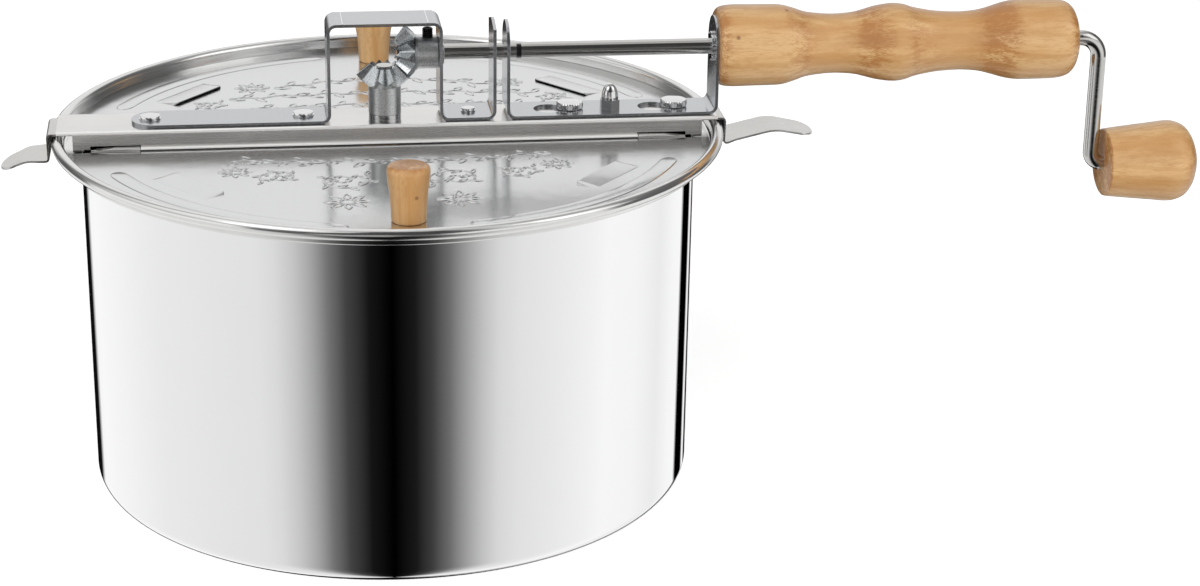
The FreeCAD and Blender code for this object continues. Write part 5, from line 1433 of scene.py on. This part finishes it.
def rear_ornament():
    """Three arched borders, with rosettes and ferns at their ends."""
    parts = [border_row(0.042, 0.0640, 0.010, 5, 16, 6.6),
             border_row(0.060, 0.0500, 0.005, 7, 24, 6.2),
             border_row(0.052, 0.0360, 0.003, 6, 22, 5.8)]
    for way in (-1, 1):
        parts.append(rosette(way * 0.051, 0.0650, 6.6 * MM))
        parts.append(fern(way * 0.069, 0.0430, 6.4 * MM, way))
    return parts


def front_ornament():
    """A border by the hinge and ferns and rosettes on both sides of the knob."""
    parts = [border_row(0.058, 0.0300, 0.005, 7, 26, 6.0)]
    for way in (-1, 1):
        parts.append(fern(way * 0.021, 0.0560, 11.0 * MM, way))
        parts.append(fern(way * 0.043, 0.0500, 8.0 * MM, -way))
        parts.append(rosette(way * 0.020, 0.0800, 8.0 * MM))
        parts.append(rosette(way * 0.059, 0.0430, 6.0 * MM))
    return parts

# %% [markdown]
# Both halves are now built by the same steps and joined, each with its own ornament, and the front
# one is turned by half a turn about the middle of the pot. The tongues at the hinge are duller than
# the sheet, like the crossbar's flanges.

# %% Press both lid halves
RIB_RADIUS = lid_radius - 12.2 * MM
RIB_START, RIB_END = math.radians(21.0), math.radians(79.0)
RIB_STEPS = 40
TONGUE_START, TONGUE_END = 93.5 * MM, 112 * MM


def rib_path(start, end):
    """Arc that a rib follows, on the sheet."""
    points = []
    for step in range(RIB_STEPS + 1):
        angle = start + (end - start) * step / RIB_STEPS
        points.append((RIB_RADIUS * math.cos(angle), RIB_RADIUS * math.sin(angle), lid_top))
    return flat_line("rib", points)


for place_name, body, half_turn, ornament in (
        ("front", "front_lid", math.pi, front_ornament), ("rear", "rear_lid", 0.0, rear_ornament)):
    parts = [lid_plate("plate")]
    for bearing in (LOUVRE_BEARING, math.pi - LOUVRE_BEARING):
        parts.append(louvre_hood("hood", bearing))
    for start, end in ((RIB_START, RIB_END), (math.pi - RIB_END, math.pi - RIB_START)):
        rib = run_tree(rib_path(start, end), rib_tree, Material=lid_sheet)
        shade_by_angle(rib, 40)
        heights = [vertex.co.z - lid_top for vertex in rib.data.vertices]
        print("rib from", round(min(heights) / MM, 2), "to", round(max(heights) / MM, 2), "mm")
        parts.append(rib)
    for way in (-1, 1):
        parts += end_knuckle("knuckle", way)
    parts += ornament()
    lid = join_pieces("pressed_lid_" + place_name, parts, lid_sheet)
    lid.data.materials.append(folded_flange)
    for face in lid.data.polygons:
        on_tongue = TONGUE_START < abs(face.center.x) < TONGUE_END
        face.material_index = int(on_tongue and face.center.y < HINGE_EDGE)
    lid.data.transform(Matrix.Rotation(half_turn, 4, "Z"))
    dress(lid, body, "lid_steel", "lid_" + place_name)

# %% [markdown]
# A mirror shows the room, so the room is part of the finish. The pot stands on a white table. The
# table is left out of mirror reflections, because inside a light tent the polished parts mirror
# the tent itself, all round and also below the table's edge. The camera sees a white table
# that keeps the pot's soft shadow.

# %% Table
TABLE_REACH = 6.0
FLOOR_DROP = 0.2 * MM

corners = [(x * TABLE_REACH, y * TABLE_REACH, -FLOOR_DROP)
           for x, y in ((-1, -1), (1, -1), (1, 1), (-1, 1))]
table_mesh = bpy.data.meshes.new("table")
table_mesh.from_pydata(corners, [], [(0, 1, 2, 3)])
table = link_object("table", table_mesh)
table_paint, tree, shader = new_material("table_paint")
shader.inputs["Base Color"].default_value = (0.8, 0.8, 0.8, 1)
shader.inputs["Roughness"].default_value = 0.9
shader.inputs["Specular IOR Level"].default_value = 0.0
lift = add_node(tree, "ShaderNodeEmission", None, Color=(1, 1, 1, 1), Strength=0.6)
lit = add_node(tree, "ShaderNodeAddShader", None, _0=shader.outputs[0], _1=lift.outputs[0])
ray = tree.nodes.new("ShaderNodeLightPath")
paint = add_node(tree, "ShaderNodeMixShader", None, _0=ray.outputs["Is Camera Ray"],
                 _1=shader.outputs[0], _2=lit.outputs[0])
tree.links.new(paint.outputs[0], tree.nodes["Material Output"].inputs["Surface"])
table.data.materials.append(table_paint)
table.visible_glossy = False
print("table", 2 * TABLE_REACH, "m wide")

# %% [markdown]
# Where does a point of the pot's wall look? Seen from above, a wall that faces the bearing b,
# counted from the camera's, mirrors the direction 2b, plus the small angle under which the camera
# itself stands off to the side. So a tent whose grey depends on the direction alone draws upright
# bands on the pot, with soft or hard sides. The greys below are what the wall should show, and a
# Float Curve carries them round the tent.

# %% Greys round the tent, below the pot's rim
WALL_RADIUS = (wall_outside + base_outside) / 2
camera_bearing = math.atan2(CAMERA_PLACE.x, -CAMERA_PLACE.y)
camera_distance = math.hypot(CAMERA_PLACE.x, CAMERA_PLACE.y)
# wall bearing from the camera, in degrees, and the grey that the wall shows there
BAND = ((-88, 0.004), (-75.2, 0.004), (-72.6, 0.97), (-69, 1.0), (-58, 0.96), (-46, 0.88),
        (-34, 0.84), (-24, 0.81), (-20.5, 0.75), (-17, 0.60), (-14, 0.41), (-11, 0.18),
        (-8, 0.06), (-4, 0.008), (0, 0.0), (4, 0.01), (7, 0.05), (10, 0.16), (13, 0.36),
        (16, 0.57), (19, 0.73), (23, 0.81), (30, 0.87), (38, 0.95), (42, 1.0), (50, 0.98),
        (58, 0.89), (64, 0.98), (68.6, 1.0), (69.6, 0.0), (75, 0.0), (76, 1.0), (77.4, 1.0),
        (78.6, 0.01), (86, 0.01))


def mirrored_heading(bearing):
    """Direction, in degrees from the camera's, that a wall point at this bearing mirrors."""
    turn = math.radians(bearing)
    aside = math.atan2(WALL_RADIUS * math.sin(turn),
                       camera_distance - WALL_RADIUS * math.cos(turn))
    return 2 * bearing + math.degrees(aside)


tent = bpy.data.worlds.new("tent")
tent.use_nodes = True
bpy.context.scene.world = tent
tree = tent.node_tree
direction = add_node(tree, "ShaderNodeTexCoord").outputs["Generated"]


def along_direction(vector):
    """How far the viewing direction points along a vector."""
    return add_node(tree, "ShaderNodeVectorMath", {"operation": "DOT_PRODUCT"}, _0=direction,
                    _1=vector).outputs["Value"]


rise = along_direction(UP)
frontwards = along_direction((math.sin(camera_bearing), -math.cos(camera_bearing), 0))
rightwards = along_direction((math.cos(camera_bearing), math.sin(camera_bearing), 0))
heading = maths(tree, "ARCTAN2", rightwards, frontwards)
round_share = add_node(tree, "ShaderNodeMapRange", None, Value=heading, From_Min=-math.pi,
                       From_Max=math.pi).outputs[0]
band_curve = add_node(tree, "ShaderNodeFloatCurve", None, Value=round_share)
curve = band_curve.mapping.curves[0]
curve.points[0].location = (0.0, BAND[0][1])
curve.points[1].location = (1.0, BAND[-1][1])
for bearing, grey in BAND:
    curve.points.new(0.5 + mirrored_heading(bearing) / 360, grey)
for point in curve.points:
    point.handle_type = "VECTOR"
band_curve.mapping.update()
band = band_curve.outputs[0]
print("band curve:", len(curve.points), "points")

# %% [markdown]
# The rest of the tent is a few broad steps. The strip at table height is dark with pale panes in
# it, which draws streaks along rods and beads. Higher up, the sides grow brighter towards the roof,
# and in front a dark opening reaches almost overhead. The back wall is bright, because that is what
# the lids mirror. Only mirror reflections see all this. The camera sees plain white, and matt
# surfaces are lit by an even sky with a broad window at the front.

# %% Tent above the band
def ramp(value, start, end, low, high):
    """Soft step from one level to another."""
    return add_node(tree, "ShaderNodeMapRange", {"interpolation_type": "SMOOTHSTEP"},
                    Value=value, From_Min=start, From_Max=end, To_Min=low, To_Max=high).outputs[0]


def blend(share, first, second):
    """Mix of two levels."""
    return maths(tree, "ADD", first, maths(tree, "MULTIPLY", share,
                                           maths(tree, "SUBTRACT", second, first)))


def pane(middle, half, soft):
    """One upright pane of the tent, as a share that fades out at both sides. In degrees."""
    off = maths(tree, "ABSOLUTE", maths(tree, "SUBTRACT", heading, math.radians(middle)))
    return ramp(off, math.radians(half), math.radians(half + soft), 1.0, 0.0)


aside = maths(tree, "ABSOLUTE", heading)
at_back = ramp(aside, 2.4, 2.75, 0.0, 1.0)
LOW_DARK, OPENING_DARK, BACK_WALL = 0.12, 0.04, 0.93
# middle, half width and soft edge of each pale pane, in degrees, and its grey
LOW_PANES = ((-82, 30, 8, 1.0), (48, 24, 10, 0.95), (152, 12, 10, 0.6), (-12, 8, 10, 0.4))
low_strip = LOW_DARK
for middle, half, soft, grey in LOW_PANES:
    low_strip = blend(pane(middle, half, soft), low_strip, grey)
low_strip = blend(maths(tree, "MULTIPLY", at_back, ramp(rise, 0.0, 0.06, 0.0, 1.0)), low_strip,
                  BACK_WALL)
leftness = ramp(heading, math.radians(-20), math.radians(20), 1.0, 0.0)
right_side = blend(pane(48, 24, 20), ramp(rise, 0.55, 0.9, 0.14, 0.5), 0.7)
left_side = blend(pane(-82, 30, 20), ramp(rise, 0.3, 0.9, 0.2, 0.5),
                  ramp(rise, 0.2, 0.75, 0.5, 1.0))
sides = blend(leftness, right_side, left_side)
opening = maths(tree, "MULTIPLY", ramp(aside, 0.40, 0.75, 1.0, 0.0),
                ramp(rise, 0.93, 0.965, 1.0, 0.0))
upper = blend(opening, sides, OPENING_DARK)
upper = blend(at_back, upper, BACK_WALL)
room = blend(ramp(rise, 0.20, 0.28, 0.0, 1.0), low_strip, upper)
room = blend(ramp(rise, -0.27, -0.20, 0.0, 1.0), band, room)
ray = tree.nodes.new("ShaderNodeLightPath")
SKY_LEVEL, WINDOW_LEVEL = 0.22, 1.9
towards_window = maths(tree, "MAXIMUM", along_direction((-0.12, -0.96, 0.25)), 0.0)
window = maths(tree, "MULTIPLY", maths(tree, "POWER", towards_window, 2.0), WINDOW_LEVEL)
daylight = maths(tree, "ADD", window, SKY_LEVEL)
brightness = blend(ray.outputs["Is Glossy Ray"], daylight, room)
brightness = blend(ray.outputs["Is Camera Ray"], brightness, 1.0)
back = tree.nodes["Background"]
tree.links.new(brightness, back.inputs["Strength"])
back.inputs["Color"].default_value = (1, 1, 1, 1)
print("tent:", len(tree.nodes), "nodes")

# %% [markdown]
# Two lamps stand in the tent, a stronger one above and to the left and a weaker one to the right.
# Both are broad panels, so that every shadow is soft and the lacquer catches a gentle light.

# %% Lamps
def soft_lamp(name, place, target, size, power):
    """Large square lamp that faces a point."""
    data = bpy.data.lights.new(name, "AREA")
    data.shape = "SQUARE"
    data.size = size
    data.energy = power
    lamp = bpy.data.objects.new(name, data)
    lamp.location = place
    lamp.rotation_euler = (Vector(target) - Vector(place)).to_track_quat("-Z", "Y").to_euler()
    bpy.context.scene.collection.objects.link(lamp)
    print(name, power, "W")


POPPER_MIDDLE = (0.05, 0, 0.12)
soft_lamp("key_panel", (-0.9, -0.9, 1.5), POPPER_MIDDLE, 1.1, 3.0)
soft_lamp("fill_panel", (1.2, -0.5, 1.1), POPPER_MIDDLE, 0.9, 2.0)
